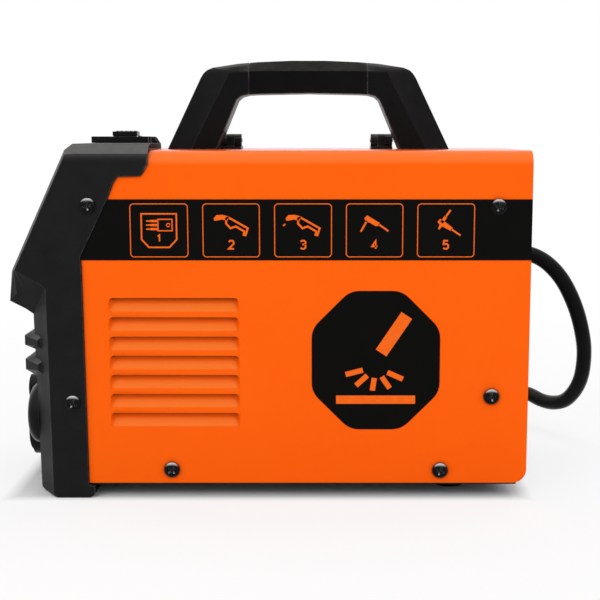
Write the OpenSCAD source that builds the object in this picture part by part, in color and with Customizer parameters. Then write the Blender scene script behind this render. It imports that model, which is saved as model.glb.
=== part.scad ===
// Compact MIG / MMA inverter welder: X is length (front at -X), Y is width (wire-feed door at +Y), Z is up.

/* [Case] */
// Length of the sheet-metal cover, from the bezel's seam to the rear edge
cover_length = 289.9; // [270:1:320]
// Depth of the moulded front bezel, from the seam to the tip of its brow
bezel_depth = 53; // [50:1:60]
// Width over the bezel's two sides
case_width = 150; // [146:1:170]
// Height of the cover's top above the floor
case_height = 228.8; // [222:0.5:245]
// Height of the cover's lower edge above the floor
floor_gap = 9.9; // [8:0.1:12]
// Thickness of the sheet steel
sheet = 1.2; // [0.8:0.1:1.6]
// Outer radius of the cover's folded top edges
fold_radius = 10; // [6:0.5:12]
// Wall of the moulded bezel
bezel_wall = 3; // [2.4:0.1:3.4]
// How far the bezel stands proud of the cover on each side
bezel_proud = 1; // [0.8:0.1:1.6]
// Gap along the seam between the bezel and the sheet metal
seam_gap = 0.3; // [0.2:0.1:0.8]
// How far the rear panel is set in from the cover's rear edge
rear_recess = 6.5; // [5:0.5:8]

/* [Front panel] */
// Width of the glossy control facia
facia_width = 102; // [98:1:106]
// Length of the facia, up the slope
facia_length = 72; // [70:1:74]
// Diameter of the large current knob
current_knob_d = 30; // [24:1:32]
// Diameter of the small wire speed knob
speed_knob_d = 22; // [16:1:24]
// How far the knobs stand out of the facia
knob_height = 13; // [9:0.5:16]
// Travel of the push buttons
button_travel = 1.5; // [0.8:0.1:1.6]
// Radius of the positive socket's rounded collar
collar_r = 21; // [20:0.5:22]
// Bore radius of the two output sockets
socket_bore_r = 6.6; // [6:0.1:7]
// Length of the bore in the output sockets
socket_bore_length = 22; // [18:1:26]
// How far the torch connector's nose reaches past the bezel's brow
torch_overhang = 9.8; // [6:0.1:12]

/* [Handle] */
// Length of the handle over its two feet
handle_length = 196; // [185:1:200]
// Width of the handle across the case
handle_width = 30; // [26:1:34]
// Height of the handle above the cover
handle_height = 60.5; // [56:0.1:66]
// Length of the soft grip sleeve
grip_length = 80.5; // [70:0.5:84]

/* [Side door] */
// Distance of the hinge axis from the case's middle plane
hinge_y = 22; // [21:0.5:24]
// Radius of the hinge knuckles
knuckle_r = 4.3; // [4:0.1:4.6]
// Radius of the hinge pins
hinge_pin_r = 1.5; // [1.2:0.1:2]
// Travel of the door's slide latch
latch_travel = 9; // [8.6:0.1:9.4]

/* [Louvres] */
// Number of pressed louvres in the near side
louvre_count = 7; // [5:1:7]
// Length of each louvre
louvre_length = 84.5; // [70:0.5:88]
// Distance from one louvre to the next
louvre_pitch = 12.73; // [12:0.01:13.4]
// Height of each louvre's opening
louvre_height = 9.3; // [7:0.1:9.5]

/* [Wire feed] */
// Outer diameter of the wire spool
spool_d = 100; // [90:1:104]
// Width of the wire spool
spool_width = 45; // [40:1:46]
// Diameter of the drive roll
drive_roll_d = 30; // [28:1:32]
// Diameter of the pressure roll
pressure_roll_d = 22; // [20:1:24]
// Running clearance of shafts in their bores
running_gap = 0.05; // [0.02:0.01:0.1]

/* [Rear] */
// Clear space on each side of the square cooling fan
fan_margin = 4.8; // [4:0.1:8]
// Depth of the fan's frame
fan_depth = 25; // [20:1:28]
// Radius of the gas inlet's hose barb
barb_r = 4.6; // [4:0.1:5]
// How far the gas inlet reaches past the cover's rear edge
inlet_reach = 15.1; // [12:0.1:18]

/* [Mains cable] */
// Diameter of the mains cable
cable_d = 11.4; // [10:0.1:11.5]
// Mean radius of the stored coil
coil_r = 59; // [56:1:64]
// Loops in each of the coil's two layers
layer_turns = 2; // [1:1:2]
// Clear space between neighbouring loops of the coil
coil_gap = 0.7; // [0.6:0.1:1]

/* [Hidden] */

$fn = 48;
far = 400;
tiny = 0.01;

// ---- main planes ----
total_length = torch_overhang + bezel_depth + cover_length + inlet_reach;
front_x = torch_overhang - total_length / 2;
seam_x = front_x + bezel_depth;
rear_x = seam_x + cover_length;
side_y = case_width / 2;
skin_y = side_y - bezel_proud;
skin_in_y = skin_y - sheet;
top_z = case_height;
panel_x = rear_x - rear_recess;
panel_in_x = panel_x - sheet;
tray_z = floor_gap - sheet;
door_bottom_z = floor_gap + 12.1;
bezel_top_z = top_z + 4.2;
bulkhead_t = 1.5;
spool_margin = 19.8;
bulkhead_y = skin_in_y - spool_width - spool_margin;
frame_x = seam_x + 0.8;
frame_y = side_y - bezel_wall;
feed_y = bulkhead_y + bulkhead_t;
cover_edge_y = hinge_y - 0.5;
bezel_step_y = -9;
top_cut_x = seam_x + 30;

// ---- control slope ----
slope_top = [front_x + 39, top_z + 0.2];
slope_foot = [front_x + 2, top_z - 79.1];
slope_angle = atan((slope_top[0] - slope_foot[0]) / (slope_top[1] - slope_foot[1]));
slope_length = norm(slope_top - slope_foot);
facia_mid = -slope_length / 2;
facia_proud = 0.8;
facia_pocket = 1.5;
// in slope coordinates +X runs into the case, Y is the width and Z runs up the slope
knob_y = 33;
current_knob_z = facia_mid + 15;
speed_knob_z = facia_mid - 19;
knob_shaft_r = 3;
window_size = [46, 24];
window_y = -23;
window_z = facia_mid + 14;
button_size = [14, 8];
button_z = facia_mid - 14;
button_ys = [-34, -12];
lamp_r = 1.5;
lamp_z = facia_mid - 1.5;
function lamp_y(i) = window_y - 15 + 10 * i;
board_x = 14;
board_t = 1.6;

// ---- front lower face ----
face_x = front_x + 17.2;
collar_y = -37;
collar_z = 49.4;
torch_y = 33;
torch_z = 52;
minus_y = -1;
minus_z = 29;
minus_ring_r = 15;
minus_ring_reach = 17.7;
minus_flange_r = 18.2;
minus_flange_reach = 15.5;
collar_reach = 9.2;
core_r = 11;
torch_r = 16;
torch_nose_r = 8;
torch_sleeve_r = 9.6;
torch_step_x = face_x - 8;
torch_bore_r = 5;
torch_bore_x = face_x + 14;
guide_r = 3.5;

// ---- fasteners ----
screw_r = 2;
screw_head_r = 5.2;
screw_head_h = 2.6;
screw_hole_r = 2.15;
screw_length = 8;
cover_screws = [[rear_x - 21.8, top_z - 36], [rear_x - 24.1, 68.3], [seam_x + 55.1, 18.9],
    [rear_x - 57.2, 18.4]];
bezel_screws = [[seam_x + 4, top_z - 35.3], [seam_x - 9.1, 64.2]];
low_screws = [cover_screws[2], cover_screws[3]];
rear_screws = [cover_screws[0], cover_screws[1]];

// ---- handle ----
handle_x = seam_x + 145;
handle_y = handle_width / 2;
handle_top_z = top_z + handle_height;
bolt_spread = handle_length / 2 - 17;
bolt_r = 2.5;

// ---- hinges and latch ----
leaf_t = 1.8;
hinge_z = top_z + leaf_t + 0.2 + knuckle_r;
hinge_mid_x = handle_x - 1.9;
hinge_spread = 54;
hinge_length = 15.4;
hinge_third = hinge_length / 3;
latch_y = 35;
latch_width = 17;
latch_front_x = front_x + 40.9;
latch_rear_x = top_cut_x - 1.1;
latch_h = 4.6;
latch_z = bezel_top_z;

// ---- rear panel ----
fan_size = bulkhead_y + skin_in_y - sheet - 2 * fan_margin;
fan_y = (bulkhead_y - skin_in_y + sheet) / 2 + 1.8;
fan_z = 72;
fan_hole_r = fan_size / 2 - 2.5;
switch_y = -34;
switch_z = 178;
gland_y = 30;
gland_z = 152;
gas_y = skin_in_y - 27.8;
gas_z = 56;

// ---- wire feed ----
wire_y = torch_y;
wire_z = torch_z;
feeder_x = seam_x + 75;
drive_axis_z = wire_z - drive_roll_d / 2;
pressure_axis_z = wire_z + pressure_roll_d / 2 + 0.6;
drive_shaft_r = 4;
arm_pivot = [feeder_x + 24, wire_z + 14];
arm_pin_r = 3;
lever_pivot = [feeder_x - 23, wire_z - 10];
lever_y = wire_y + 9;
spool_x = seam_x + 190;
spool_z = 120;
spool_r = spool_d / 2;
spool_y = feed_y + 5;
spool_shaft_r = 6;
hub_r = 15;

// ---- general shapes ----
// block between two corners
module block(a, b) {
    translate(a)
        cube(b - a);
}

// cylinders along the three axes, from the first coordinate to the second
module rod_x(x0, x1, y, z, r) {
    translate([x0, y, z])
        rotate([0, 90, 0])
            cylinder(h = x1 - x0, r = r);
}

module rod_y(x, y0, y1, z, r) {
    translate([x, y1, z])
        rotate([90, 0, 0])
            cylinder(h = y1 - y0, r = r);
}

module rod_z(x, y, z0, z1, r) {
    translate([x, y, z0])
        cylinder(h = z1 - z0, r = r);
}

// an outline of [x, z] points, extruded across the case from y0 to y1
module across(outline, y0, y1) {
    translate([0, y1, 0])
        rotate([90, 0, 0])
            linear_extrude(height = y1 - y0)
                polygon(outline);
}

// the frame of the control slope: X into the case, Z up the slope
module on_slope() {
    translate([slope_top[0], 0, slope_top[1]])
        rotate([0, slope_angle, 0])
            children();
}

// triangles that fill a ring whose first points run down to `turn`, and whose others run back up
function filled(ring, turn, i, k) = i == turn && k == turn + 1 ? []
    : k == turn + 1 || (i < turn && ring[i + 1][2] > ring[k - 1][2])
    ? concat([[i, i + 1, k]], filled(ring, turn, i + 1, k))
    : concat([[i, k - 1, k]], filled(ring, turn, i, k - 1));

// a solid through rings of points that all have the same count; a ring that isn't convex has a turn
module loft(rings, turn = 0) {
    n = len(rings[0]);
    last = len(rings) - 1;
    points = [for (ring = rings) each ring];
    sides = [for (i = [0 : last - 1]) for (j = [0 : n - 1])
        each [[i * n + j, i * n + (j + 1) % n, (i + 1) * n + (j + 1) % n],
            [i * n + j, (i + 1) * n + (j + 1) % n, (i + 1) * n + j]]];
    start = turn ? [for (t = filled(rings[0], turn, 0, n - 1)) [t[2], t[1], t[0]]]
        : [[for (j = [n - 1 : -1 : 0]) j]];
    end = turn ? [for (t = filled(rings[last], turn, 0, n - 1)) [for (j = t) last * n + j]]
        : [[for (j = [0 : n - 1]) last * n + j]];
    polyhedron(points = points, faces = concat(sides, start, end), convexity = 6);
}

function ring_at(outline, y) = [for (p = outline) [p[0], y, p[1]]];

// ---- front bezel ----
// the bezel's rear edge on the case's sides, from the top down
side_seam = [[seam_x + 43, top_z], [seam_x + 40.1, top_z - 13.8], [seam_x + 38.1, top_z - 16.2],
    [seam_x + 23.4, top_z - 16.5], [seam_x + 20.8, top_z - 20], [seam_x + 16.3, top_z - 31.5],
    [seam_x - 1.7, top_z - 68.2], [seam_x - 1.3, top_z - 75.3], [seam_x - 0.1, floor_gap]];
seam_up = [for (i = [8 : -1 : 0]) side_seam[i]];
// outlines of [x, z] points down the front, at the flat middle and at the sides
flat_half = 56;
bezel_toe = tray_z - 0.3;
front_points = [[front_x + 44.3, bezel_top_z], slope_top, slope_foot, [front_x, top_z - 99.4],
    [front_x + 10.5, top_z - 104.8], [front_x + 15.3, top_z - 108.2], [face_x, bezel_toe - 0.4],
    [face_x, 3], [face_x + 1, 0.8], [face_x + 3, 0]];
side_points = [[front_x + 49.6, bezel_top_z], [slope_top[0] + 5.4, slope_top[1]],
    [slope_foot[0] + 6.3, slope_foot[1] + 2.1], [front_x + 18, top_z - 82.4], [front_x + 26, top_z - 87],
    [front_x + 28, top_z - 89], [front_x + 29.4, bezel_toe - 0.4], [front_x + 29.5, 3],
    [front_x + 30.3, 0.8], [front_x + 32, 0]];
bezel_rear = concat([[seam_x + 0.8, 0], [seam_x + 3, 1.2], [seam_x + 3.9, 3.4],
    [seam_x + 3.9, bezel_toe - 0.8], [seam_x - 0.1, bezel_toe]], seam_up, [[seam_x + 43, bezel_top_z]]);
front_outline = concat(front_points, bezel_rear);
side_outline = concat(side_points, bezel_rear);
bezel_turn = len(front_points) - 1;
// directions in which the bezel's inner face lies from each outline point, in walls
slope_in = [cos(slope_angle), -sin(slope_angle)];
inward = [[0.7, -1], slope_in, slope_in, [1, 0.9], [0.7, 1], [1, 0.6], [1, 0], [1, 0.6], [1, 1], [0.8, 1]];
inner_rear = [[far, bezel_wall], [far, bezel_top_z - bezel_wall]];
inner_front = concat([for (i = [0 : bezel_turn]) front_points[i] + bezel_wall * inward[i]], inner_rear);
inner_side = concat([for (i = [0 : bezel_turn]) side_points[i] + bezel_wall * inward[i]], inner_rear);

// the bezel's top edge is rounded at each side: outline and half width at an angle round that edge
bezel_round = 12.5;
function round_half(a) = side_y - bezel_round * (1 - cos(a));
function cut_down(outline, top) = [for (i = [0 : len(outline) - 1])
    let (z = min(outline[i][1], i == 1 || i == len(outline) - 2 ? top - 0.4 : top))
    [outline[i][0] - (i == 1 ? (outline[i][1] - z) * tan(slope_angle) : 0), z]];
function round_outline(a) = let (part = (side_y - round_half(a)) / (side_y - flat_half))
    cut_down((1 - part) * side_outline + part * front_outline, bezel_top_z - bezel_round * (1 - sin(a)));
round_angles = [0, 30, 60, 90];

module bezel_rib(z_top, z_upper, z_lower, z_bottom) {
    x_in = face_x + 2;
    tip = front_x + 7.9;
    mid = (z_upper + z_lower) / 2;
    rib = [[x_in, z_top], [tip, z_upper], [tip, z_lower], [x_in, z_bottom]];
    end = [[x_in + 4, mid + 5], [face_x + 2, mid + 2], [face_x + 2, mid - 2], [x_in + 4, mid - 5]];
    loft([ring_at(end, -flat_half - 9), ring_at(rib, 4 - flat_half), ring_at(rib, flat_half - 4),
        ring_at(end, flat_half + 9)]);
}

module front_bezel() {
    color([0.13, 0.13, 0.13])
        difference() {
            union() {
                loft(concat([for (a = round_angles) ring_at(round_outline(a), -round_half(a))],
                    [for (m = [-1, 1]) ring_at(front_outline, m * flat_half)],
                    [for (i = [3 : -1 : 0]) ring_at(round_outline(round_angles[i]),
                        round_half(round_angles[i]))]), bezel_turn);
                bezel_rib(109.4, 105.6, 99, 94.2);
                bezel_rib(93.5, 89.5, 82.3, 75.5);
            }
            across([for (p = inner_side) [p[0], min(p[1], bezel_top_z - 0.64 * bezel_round)]],
                bezel_wall - side_y, side_y - bezel_wall);
            across(inner_side, 0.52 * bezel_round + 2.5 - side_y, side_y - 0.52 * bezel_round - 2.5);
            across(inner_front, 1.4 - flat_half, flat_half - 1.4);
            block([top_cut_x, bezel_step_y, top_z - 16.5], [far, side_y + 1, bezel_top_z + 1]);
            on_slope()
                facia_pocket_cut();
            panel_window();
            latch_notch();
            for (s = bezel_screws)
                rod_y(s[0], -side_y - 1, side_y + 1, s[1], screw_hole_r);
        }
}

// pocket for the facia, with holes behind the controls, in slope coordinates
module facia_pocket_cut() {
    hw = facia_width / 2 + 0.2;
    hl = facia_length / 2 + 0.2;
    block([-6, -hw, facia_mid - hl], [facia_pocket, hw, facia_mid + hl]);
    rod_x(0, 9, knob_y, current_knob_z, 5);
    rod_x(0, 9, knob_y, speed_knob_z, 5);
    block([0, window_y - window_size[0] / 2 + 3, window_z - window_size[1] / 2 + 3],
        [9, window_y + window_size[0] / 2 - 3, window_z + window_size[1] / 2 - 3]);
    for (y = button_ys)
        block([0, y - button_size[0] / 2 - 0.5, button_z - button_size[1] / 2 - 0.5],
            [9, y + button_size[0] / 2 + 0.5, button_z + button_size[1] / 2 + 0.5]);
    for (i = [0 : 3])
        rod_x(0, 9, lamp_y(i), lamp_z, lamp_r + 0.6);
}

module control_facia() {
    hw = facia_width / 2;
    hl = facia_length / 2;
    color([0.05, 0.05, 0.055])
        on_slope()
            difference() {
                block([-facia_proud, -hw, facia_mid - hl], [facia_pocket, hw, facia_mid + hl]);
                rod_x(-9, 9, knob_y, current_knob_z, knob_shaft_r + 0.6);
                rod_x(-9, 9, knob_y, speed_knob_z, knob_shaft_r + 0.6);
                block([-9, window_y - window_size[0] / 2 - 0.1, window_z - window_size[1] / 2 - 0.1],
                    [0.4, window_y + window_size[0] / 2 + 0.1, window_z + window_size[1] / 2 + 0.1]);
                for (y = button_ys)
                    block([-9, y - button_size[0] / 2 - 0.25, button_z - button_size[1] / 2 - 0.25],
                        [9, y + button_size[0] / 2 + 0.25, button_z + button_size[1] / 2 + 0.25]);
                for (i = [0 : 3])
                    rod_x(-9, 9, lamp_y(i), lamp_z, lamp_r + 0.05);
            }
}

module display_window() {
    color([0.2, 0.04, 0.03])
        on_slope()
            block([-facia_proud, window_y - window_size[0] / 2, window_z - window_size[1] / 2],
                [0.4, window_y + window_size[0] / 2, window_z + window_size[1] / 2]);
}

module status_lamps() {
    color([0.3, 0.8, 0.3])
        on_slope()
            for (i = [0 : 3])
                translate([board_x, lamp_y(i), lamp_z])
                    rotate([0, -90, 0])
                        cylinder(h = board_x + facia_proud + 0.5, r = lamp_r);
}

// a knob with its shaft, in slope coordinates
module knob(d, z) {
    rod_x(-facia_proud - knob_height, -facia_proud - 0.6, knob_y, z, d / 2 - 1.5);
    rod_x(-facia_proud - 4, -facia_proud - 0.6, knob_y, z, d / 2);
    rod_x(-facia_proud - 1, board_x - 1, knob_y, z, knob_shaft_r);
    block([-facia_proud - knob_height - 0.8, knob_y - 1, z],
        [-facia_proud - 4, knob_y + 1, z + d / 2 - 0.6]);
}

module current_knob() {
    color([0.08, 0.08, 0.08])
        on_slope()
            knob(current_knob_d, current_knob_z);
}

module wire_speed_knob() {
    color([0.08, 0.08, 0.08])
        on_slope()
            knob(speed_knob_d, speed_knob_z);
}

// a push button's cap and stem, in slope coordinates
module push_button(y) {
    block([-facia_proud - 2.2, y - button_size[0] / 2, button_z - button_size[1] / 2],
        [facia_pocket + 4, y + button_size[0] / 2, button_z + button_size[1] / 2]);
    block([bezel_wall + 0.1, y - button_size[0] / 2 - 1.6, button_z - button_size[1] / 2 - 1.6],
        [bezel_wall + 1.6, y + button_size[0] / 2 + 1.6, button_z + button_size[1] / 2 + 1.6]);
    rod_x(facia_pocket + 3, board_x - 4 - button_travel - 0.1, y, button_z, 2);
}

module mode_button() {
    color([0.85, 0.85, 0.85])
        on_slope()
            push_button(button_ys[0]);
}

module trigger_button() {
    color([0.85, 0.85, 0.85])
        on_slope()
            push_button(button_ys[1]);
}

module control_board() {
    hw = facia_width / 2 - 4;
    color([0.05, 0.35, 0.18])
        on_slope()
            difference() {
                union() {
                    block([board_x, -hw, facia_mid - 33], [board_x + board_t, hw, facia_mid + 30]);
                    for (z = [current_knob_z, speed_knob_z])
                        block([7, knob_y - 8, z - 8], [board_x, knob_y + 8, z + 8]);
                    for (y = button_ys)
                        block([board_x - 4, y - 3, button_z - 3], [board_x, y + 3, button_z + 3]);
                    block([4.5, window_y - 19, window_z - 8], [board_x, window_y + 19, window_z + 8]);
                    for (y = [6 - hw, hw - 6])
                        rod_x(bezel_wall, board_x, y, facia_mid - 29, 3);
                    for (y = [6 - hw, 8])
                        rod_x(bezel_wall, board_x, y, facia_mid + 27, 2.5);
                }
                rod_x(6, board_x + 9, knob_y, current_knob_z, knob_shaft_r + running_gap);
                rod_x(6, board_x + 9, knob_y, speed_knob_z, knob_shaft_r + running_gap);
            }
}

// ---- connector panel and sockets ----
panel_half = 53.5;
panel_low = 10.6;
panel_high = 78;
panel_ledge = 1.8;

module panel_window() {
    block([face_x - 1, panel_ledge - panel_half, panel_low + panel_ledge],
        [face_x + 9, panel_half - panel_ledge, panel_high - panel_ledge]);
    block([face_x - 3, -panel_half, panel_low], [face_x + 1.2, panel_half, panel_high]);
    rod_x(face_x - 20, face_x, collar_y, collar_z, collar_r + 0.2);
}

// a collar with a rounded rim, its axis along -X, standing on the panel
module collar(y, z, r, reach, bore) {
    translate([face_x, y, z])
        rotate([0, -90, 0])
            rotate_extrude($fn = 72)
                difference() {
                    union() {
                        square([r, tiny + reach - 7]);
                        translate([0, reach - 7])
                            square([r - 7, 7]);
                        translate([r - 7, reach - 7])
                            circle(r = 7);
                    }
                    translate([-9, -20])
                        square([9, 60]);
                    translate([-9, -20])
                        square([60, 20]);
                    translate([-1, -1])
                        square([bore + 1, 60]);
                }
}

module connector_panel() {
    color([0.1, 0.1, 0.1])
        difference() {
            union() {
                block([face_x - 0.8, -panel_half + 0.2, panel_low + 0.2],
                    [face_x + 1.2, panel_half - 0.2, panel_high - 0.2]);
                collar(collar_y, collar_z, collar_r, collar_reach, 0);
                rod_x(face_x - minus_ring_reach, face_x, minus_y, minus_z, minus_ring_r);
                rod_x(face_x - minus_flange_reach, face_x, minus_y, minus_z, minus_flange_r);
                rod_x(face_x - 5, face_x, torch_y, torch_z, torch_r + 4);
            }
            rod_x(face_x - 30, face_x + 9, collar_y, collar_z, core_r + 2.5);
            rod_x(face_x - 30, face_x + 9, minus_y, minus_z, core_r + 2.5);
            rod_x(face_x - 30, face_x + 9, torch_y, torch_z, torch_r + 1.5);
        }
}

// the two output sockets: a moulded sleeve round a bored brass core
module socket_body(y, z) {
    difference() {
        union() {
            rod_x(face_x - 6, face_x + 14, y, z, core_r + 2.5);
            rod_x(face_x + 1.2, face_x + 5, y, z, core_r + 4);
        }
        rod_x(face_x - 30, face_x + 30, y, z, core_r);
    }
}

module socket_core(y, z) {
    difference() {
        union() {
            rod_x(face_x - 4, face_x - 4 + socket_bore_length + 3, y, z, core_r);
            rod_x(face_x + 14, face_x + 32, y, z, 5);
        }
        rod_x(face_x - 4 - tiny, face_x - 4 + socket_bore_length, y, z, socket_bore_r);
        block([face_x - 5, y - 2, z + socket_bore_r - 1], [face_x + 5, y + 2, z + socket_bore_r + 2]);
    }
}

module socket_bodies() {
    color([0.09, 0.09, 0.09]) {
        socket_body(collar_y, collar_z);
        socket_body(minus_y, minus_z);
    }
}

module socket_cores() {
    color([0.78, 0.6, 0.3]) {
        socket_core(collar_y, collar_z);
        socket_core(minus_y, minus_z);
    }
}

// the torch connector: a bored brass body in an insulator with a sleeve round its nose
module torch_insulator() {
    color([0.08, 0.08, 0.08])
        difference() {
            union() {
                rod_x(front_x - torch_overhang, face_x, torch_y, torch_z, torch_sleeve_r);
                rod_x(torch_step_x - 2, face_x + 10, torch_y, torch_z, torch_r + 1.5);
                rod_x(face_x + 1.2, face_x + 6, torch_y, torch_z, torch_r + 2.3);
            }
            rod_x(front_x - torch_overhang - 1, face_x, torch_y, torch_z, torch_nose_r);
            rod_x(torch_step_x, face_x + 40, torch_y, torch_z, torch_r - 2);
            for (a = [-40, 40])
                translate([0, torch_y, torch_z])
                    rotate([a, 0, 0])
                        rod_x(torch_step_x - 3, torch_step_x + 1, 0, 12.6, 1.6);
        }
}

module torch_connector() {
    color([0.8, 0.62, 0.3])
        difference() {
            union() {
                rod_x(torch_step_x, face_x + 28, torch_y, torch_z, torch_r - 2);
                rod_x(front_x - torch_overhang, face_x, torch_y, torch_z, torch_nose_r);
            }
            rod_x(front_x - torch_overhang - 1, torch_bore_x, torch_y, torch_z, torch_bore_r);
            rod_x(face_x, face_x + 40, torch_y, torch_z, guide_r);
        }
}

// steel frame behind the bezel, which its screws and the tray's front hold
module front_frame() {
    color([0.7, 0.71, 0.73])
        difference() {
            union() {
                block([frame_x, -frame_y, tray_z + sheet], [frame_x + sheet, frame_y, 205]);
                for (m = [-1, 1]) {
                    y0 = m < 0 ? -frame_y : frame_y - sheet;
                    block([frame_x - 14, y0, 50], [frame_x + sheet, y0 + sheet, 80]);
                    block([frame_x - 6, y0, 184], [frame_x + 12, y0 + sheet, 203]);
                }
            }
            block([frame_x - 1, -54, 86], [frame_x + 9, 54, 176]);
            block([frame_x - 1, -54, 30], [frame_x + 9, 14, 74]);
            rod_x(frame_x - 1, frame_x + 9, torch_y, torch_z, guide_r + 3.5);
            for (s = bezel_screws)
                rod_y(s[0], -side_y - 1, side_y + 1, s[1], screw_r);
        }
}

// ---- sheet-metal cover and door ----
// cross-section in [y, z] of a folded sheet: a side at -Y and a top that ends at top_end
module folded_section(side, low, top_end, r) {
    difference() {
        union() {
            translate([-side, low])
                square([side + top_end, top_z - r - low]);
            translate([r - side, low])
                square([side - r + top_end, top_z - low]);
            translate([r - side, top_z - r])
                circle(r = r);
        }
        union() {
            translate([sheet - side, low - 1])
                square([side - sheet + top_end + 1, top_z - r - low + 1]);
            translate([r - side, low - 1])
                square([side - r + top_end + 1, top_z - sheet - low + 1]);
            translate([r - side, top_z - r])
                circle(r = r - sheet);
        }
    }
}

module along(x0, x1) {
    translate([x0, 0, 0])
        rotate([90, 0, 90])
            linear_extrude(height = x1 - x0)
                children();
}

// everything in front of the seam, which the sheet metal leaves out
module seam_waste(seam, y0, y1) {
    front = [for (p = seam) [p[0] + seam_gap, p[1]]];
    last = front[len(front) - 1];
    across(concat([[-far, top_z + 20], [front[0][0], top_z + 20]], front, [[last[0], -1], [-far, -1]]),
        y0, y1);
}

// top line of each louvre, counted from the top
function louvre_z(i) = top_z - 95.1 - i * louvre_pitch;
louvre_x = seam_x + 15.7;
louvre_flare = 0.6;
louvre_depth = 4;

function quarter(x, z, r, start) = [for (a = [start : -30 : start - 90]) [x + r * cos(a), z + r * sin(a)]];

// an opening with rounded corners, a little wider at its foot
module louvre_cut(z) {
    x0 = louvre_x;
    x1 = louvre_x + louvre_length;
    foot = z - louvre_height;
    across(concat(quarter(x0 + 2.6, z - 2.6, 2.6, 180), quarter(x1 - 2.6, z - 2.6, 2.6, 90),
        quarter(x1 + louvre_flare - 2.6, foot + 2.6, 2.6, 0),
        quarter(x0 - louvre_flare + 2.6, foot + 2.6, 2.6, -90)),
        -skin_y - 1, sheet + 1 - skin_y);
}

// the sheet pressed inward behind an opening, curved so that it meets the side at its foot
module louvre_flap(z) {
    curve = [for (t = [0 : 0.2 : 1]) [0.15 - skin_y + louvre_depth * sin(90 * t),
        t * (louvre_height - 0.4) - 0.2]];
    translate([louvre_x - louvre_flare - 1, 0, z - louvre_height])
        rotate([90, 0, 90])
            linear_extrude(height = louvre_length + 2 * louvre_flare + 2)
                polygon(concat(curve, [for (i = [5 : -1 : 0]) curve[i] + [sheet, 0]]));
}

module main_cover() {
    color([0.96, 0.36, 0.05]) {
        difference() {
            along(seam_x - 3, rear_x)
                folded_section(skin_y, floor_gap, cover_edge_y, fold_radius);
            seam_waste(side_seam, -side_y - 1, bezel_step_y);
            block([seam_x - 9, bezel_step_y - tiny, top_z - 30], [top_cut_x + seam_gap, far, top_z + 9]);
            translate([0, 0, floor_gap])
                rear_corner_cut(9);
            for (i = [0 : louvre_count - 1])
                louvre_cut(louvre_z(i));
            for (s = cover_screws)
                rod_y(s[0], -side_y - 1, 4 - skin_y, s[1], screw_hole_r);
            for (x = [handle_x - bolt_spread, handle_x + bolt_spread])
                rod_z(x, 0, top_z - 9, top_z + 9, bolt_r + 0.5);
        }
        for (i = [0 : louvre_count - 1])
            louvre_flap(louvre_z(i));
    }
}

// rounds the lower rear corner of a side, from the level z = 0 up
module rear_corner_cut(r) {
    difference() {
        block([rear_x - r, -far, -1], [rear_x + 1, far, r]);
        rod_y(rear_x - r, -far - 1, far + 1, r, r);
    }
}

// the printed band on the near side, between the bezel and the rear edge
far_seam = [for (i = [3 : 8]) side_seam[i]];
stripe_low = top_z - 70.4;
stripe_high = top_z - 31.2;
stripe_t = 0.25;

module side_stripe() {
    color([0.05, 0.04, 0.03])
        difference() {
            block([seam_x - 9, -skin_y - stripe_t, stripe_low], [rear_x, -skin_y, stripe_high]);
            seam_waste(side_seam, -side_y - 1, 0);
            rod_y(cover_screws[0][0], -side_y - 1, 0, cover_screws[0][1], screw_head_r + 0.05);
        }
}

module side_door() {
    color([0.96, 0.36, 0.05])
        difference() {
            mirror([0, 1, 0])
                along(seam_x - 3, rear_x - 0.3)
                    folded_section(skin_y, door_bottom_z, -hinge_y - 1.5, fold_radius);
            seam_waste(concat([[top_cut_x, top_z], [top_cut_x, top_z - 16.5]], far_seam), 0, side_y + 1);
        }
}

// ---- chassis ----
module base_tray() {
    rail = 12;
    x0 = frame_x + sheet;
    color([0.09, 0.09, 0.09])
        difference() {
            union() {
                block([x0, -skin_in_y, tray_z], [panel_x, skin_in_y, tray_z + sheet]);
                block([x0, -skin_in_y, tray_z], [panel_x, sheet - skin_in_y, tray_z + 18]);
                block([x0, skin_in_y - sheet, tray_z], [panel_x, skin_in_y, tray_z + rail]);
                block([x0, -skin_in_y, tray_z], [x0 + sheet, skin_in_y, tray_z + rail]);
            }
            for (s = low_screws)
                rod_y(s[0], -side_y - 1, 6 - skin_in_y, s[1], screw_hole_r);
            for (y = [-foot_y, foot_y])
                rod_z(foot_x, y, tray_z - 1, tray_z + 9, 2.6);
            for (i = [0 : 5])
                block([seam_x + 60 + 18 * i, -50, tray_z - 1], [seam_x + 66 + 18 * i, -10, tray_z + 9]);
        }
}

foot_x = rear_x - 48;
foot_y = 40;
foot_r = 12;

module rear_feet() {
    color([0.04, 0.04, 0.04])
        for (y = [-foot_y, foot_y])
            union() {
                translate([foot_x, y, 0])
                    cylinder(h = tray_z, r1 = foot_r - 1, r2 = foot_r);
                rod_z(foot_x, y, tray_z - 1, tray_z + sheet + 3, 2.5);
            }
}

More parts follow.
